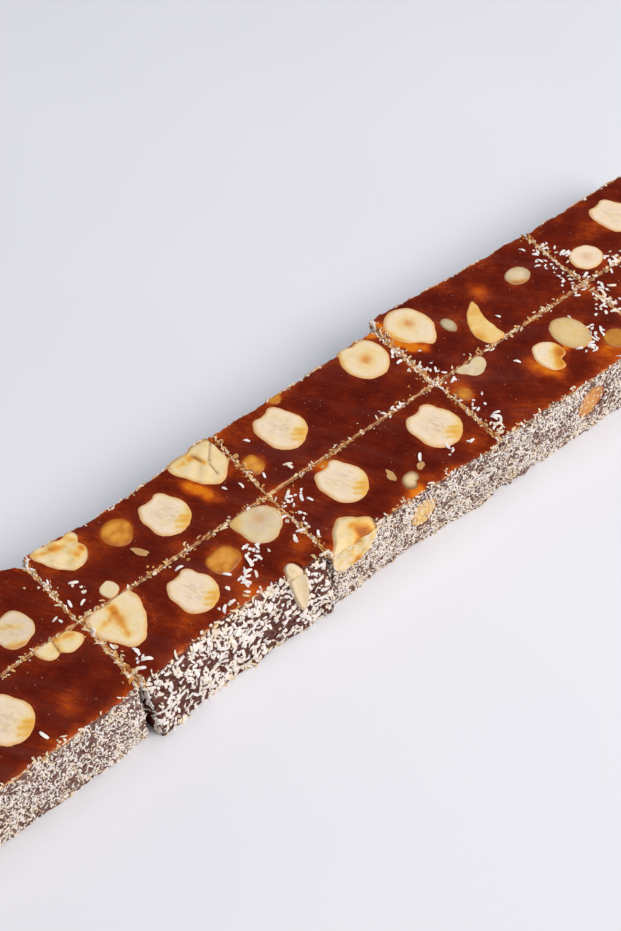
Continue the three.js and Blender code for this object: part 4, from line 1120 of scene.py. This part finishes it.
def scatterTree(name, settings):
    # Strews the flakes over a surface, as thickly as one painted value says, and makes them real mesh.
    tree = bpy.data.node_groups.new(name, "GeometryNodeTree")
    tree.is_modifier = True
    for direction in ("INPUT", "OUTPUT"):
        tree.interface.new_socket("Geometry", in_out=direction, socket_type="NodeSocketGeometry")
    add = partial(addNode, tree)
    surface = add("NodeGroupInput").outputs[0]
    density = add("GeometryNodeInputNamedAttribute", {"Name": settings["where"]}, data_type="FLOAT")
    places = add("GeometryNodeDistributePointsOnFaces", {
        "Mesh": surface, "Distance Min": settings["apart"] * mm, "Seed": settings["seed"],
        "Density Max": settings["perSquare"] / mm ** 2, "Density Factor": density},
        distribute_method="POISSON")
    tilt = settings["tilt"]
    swing = add("FunctionNodeRandomValue", {0: (-tilt, -tilt, 0), 1: (tilt, tilt, 2 * math.pi), "Seed": 1},
                data_type="FLOAT_VECTOR")
    turned = add("FunctionNodeRotateRotation", {"Rotation": places.outputs["Rotation"], "Rotate By": swing},
                 rotation_space="LOCAL")
    smallest, largest = settings["size"]
    size = add("FunctionNodeRandomValue", {2: smallest, 3: largest, "Seed": 2}, data_type="FLOAT")
    local = add("GeometryNodeInputNamedAttribute", {"Name": "flake"}, data_type="FLOAT")
    scale = add("ShaderNodeMath", {0: size, 1: local}, operation="MULTIPLY")
    choices = add("GeometryNodeCollectionInfo", {
        "Collection": kits[settings["kit"]], "Separate Children": True, "Reset Children": True})
    strewnFlakes = add("GeometryNodeInstanceOnPoints", {
        "Points": places, "Instance": choices, "Pick Instance": True, "Rotation": turned, "Scale": scale})
    palest, darkest = settings["tint"]
    shade = add("FunctionNodeRandomValue", {2: palest, 3: darkest, "Seed": 3}, data_type="FLOAT")
    tinted = add("GeometryNodeStoreNamedAttribute", {
        "Geometry": strewnFlakes, "Name": "tint", "Value": shade}, data_type="FLOAT", domain="INSTANCE")
    real = add("GeometryNodeRealizeInstances", {"Geometry": tinted})
    painted = add("GeometryNodeSetMaterial", {"Geometry": real, "Material": coconut})
    add("NodeGroupOutput", {0: painted})
    return tree


# Lengths in millimetres, tilt in radians, size and tint from least to most.
coatScatter = {"kit": "flakes", "where": "coat", "apart": 0.45, "tilt": 0.5, "size": (0.6, 1.1),
               "tint": (-0.05, 0.32)}
gritScatter = {"kit": "grains", "where": "grit", "apart": 0.4, "tilt": 0.5, "size": (0.8, 1.4),
               "tint": (0, 0.45)}
scatters = {
    "coconut_front": {**coatScatter, "rows": (front,), "perSquare": 3.2, "seed": 3},
    "coconut_front_grains": {**gritScatter, "rows": (front,), "perSquare": 2.4, "seed": 7},
    "coconut_back": {**coatScatter, "rows": (back,), "perSquare": 2.7, "seed": 4},
    "coconut_back_grains": {**gritScatter, "rows": (back,), "perSquare": 2.2, "seed": 8},
    "coconut_coarse": {
        "rows": (front,), "kit": "shreds", "where": "coarse", "perSquare": 1.85, "apart": 0.52, "seed": 9,
        "tilt": 0.45, "size": (0.7, 1.3), "tint": (-0.05, 0.3)},
    "coconut_loose": {
        "rows": (front, back), "kit": "curls", "where": "drift", "perSquare": 1.6, "apart": 0.6, "seed": 5,
        "tilt": 0.25, "size": (0.5, 0.95), "tint": (-0.05, 0.35)},
    "cut_crumbs": {
        "rows": (front, back), "kit": "shreds", "where": "crumb", "perSquare": 7, "apart": 0.28, "seed": 6,
        "tilt": 0.7, "size": (0.4, 0.95), "tint": (0.35, 0.8)},
}


def strewn(surface, tree):
    bed = copyOf(surface, "bed")
    bed.modifiers.new("strew", "NODES").node_group = tree
    applyAll(bed)
    return bed


def strew(name, settings):
    tree = scatterTree(name, settings)
    where, rows = settings["where"], settings["rows"]
    surfaces = [jellyPieces[sliceName] for sliceName, shape in slices.items() if shape["row"] in rows]
    if where in ("coat", "coarse", "grit"):
        coated = [nodeName for nodeName, look in nuts.items() if look["coat"] or look["sideCoat"]]
        surfaces += [nutPieces[nodeName] for nodeName in coated if slices[sliceOf(nodeName)]["row"] in rows]
    beds = [strewn(surface, tree) for surface in surfaces
            if max(point.value for point in surface.data.attributes[where].data) > 0]
    piece = joined(beds, name)
    writePoints(piece, insideBox(readPoints(piece)))
    print(name, len(piece.data.polygons), "faces")
    return piece


coconutPieces = [strew(name, settings) for name, settings in scatters.items()]
for kit in kits.values():
    for flake in list(kit.objects):
        bpy.data.objects.remove(flake)
    bpy.data.collections.remove(kit)


# ---- Riding on the frame

for name, piece in jellyPieces.items():
    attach(piece, "root")
    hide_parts(name)
for nodeName, piece in nutPieces.items():
    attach(piece, "root")
    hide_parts(nodeName)
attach(nutBits, "root")
for piece in coconutPieces:
    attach(piece, "root")


# ---- Table, light and camera

tableLook = {"size": 3.0, "mottle": [(0, "#e4e4ea"), (1, "#eeeef2")], "mottlesPerMetre": 9, "roughness": 0.6}


def paleTable(look):
    # A smooth matt white table top, with a faint mottle so that it isn't one flat colour.
    deselectAll()
    bpy.ops.mesh.primitive_grid_add(x_subdivisions=8, y_subdivisions=8, size=look["size"])
    table = bpy.context.active_object
    table.name = "table"
    material, add = newMaterial("mattWhiteLaminate")
    place = add("ShaderNodeTexCoord").outputs["Object"]
    mottle = add("ShaderNodeTexNoise", {"Vector": place, "Scale": look["mottlesPerMetre"], "Detail": 2})
    colour = add("ShaderNodeValToRGB", {"Fac": mottle}, look["mottle"])
    skin = add("ShaderNodeBsdfPrincipled", {
        "Base Color": colour, "Roughness": look["roughness"], "Specular IOR Level": 0.2})
    add("ShaderNodeOutputMaterial", {"Surface": skin})
    table.data.materials.append(material)


paleTable(tableLook)

lights = {
    "key": {"at": (0.48, -0.8, 0.9), "size": 0.7, "power": 13, "colour": "#fffaf4"},
    "overhead": {"at": (0, 0.1, 1.3), "size": 1.0, "power": 5.6, "colour": "#f4f6ff"},
}
for name, settings in lights.items():
    deselectAll()
    bpy.ops.object.light_add(type="AREA", location=settings["at"])
    lamp = bpy.context.active_object
    lamp.name = name
    lamp.data.size = settings["size"]
    lamp.data.energy = settings["power"]
    lamp.data.color = linearColour(settings["colour"])[:3]
    lamp.rotation_euler = (-lamp.location).to_track_quat("-Z", "Y").to_euler()

world = bpy.data.worlds.new("softRoom")
bpy.context.scene.world = world
world.use_nodes = True
world.node_tree.nodes.clear()
sky = addNode(world.node_tree, "ShaderNodeBackground", {"Color": "#e6ebf4", "Strength": 0.3})
addNode(world.node_tree, "ShaderNodeOutputWorld", {"Surface": sky})
bpy.context.scene.view_settings.view_transform = "Standard"

view = {"azimuth": -40.16, "elevation": 52.43, "target": (-3.69, 11.31, 0), "distance": 349.63, "lens": 56.69}
azimuth, elevation = math.radians(view["azimuth"]), math.radians(view["elevation"])
towards = Vector((math.sin(azimuth) * math.cos(elevation), -math.cos(azimuth) * math.cos(elevation),
                  math.sin(elevation)))
deselectAll()
bpy.ops.object.camera_add(location=(Vector(view["target"]) + towards * view["distance"]) * mm)
camera = bpy.context.active_object
camera.rotation_euler = towards.to_track_quat("Z", "Y").to_euler()
camera.data.lens = view["lens"]
camera.data.sensor_width = 36
camera.data.clip_start = 0.01
bpy.context.scene.camera = camera
print("table, light and camera set")

bpy.context.view_layer.update()
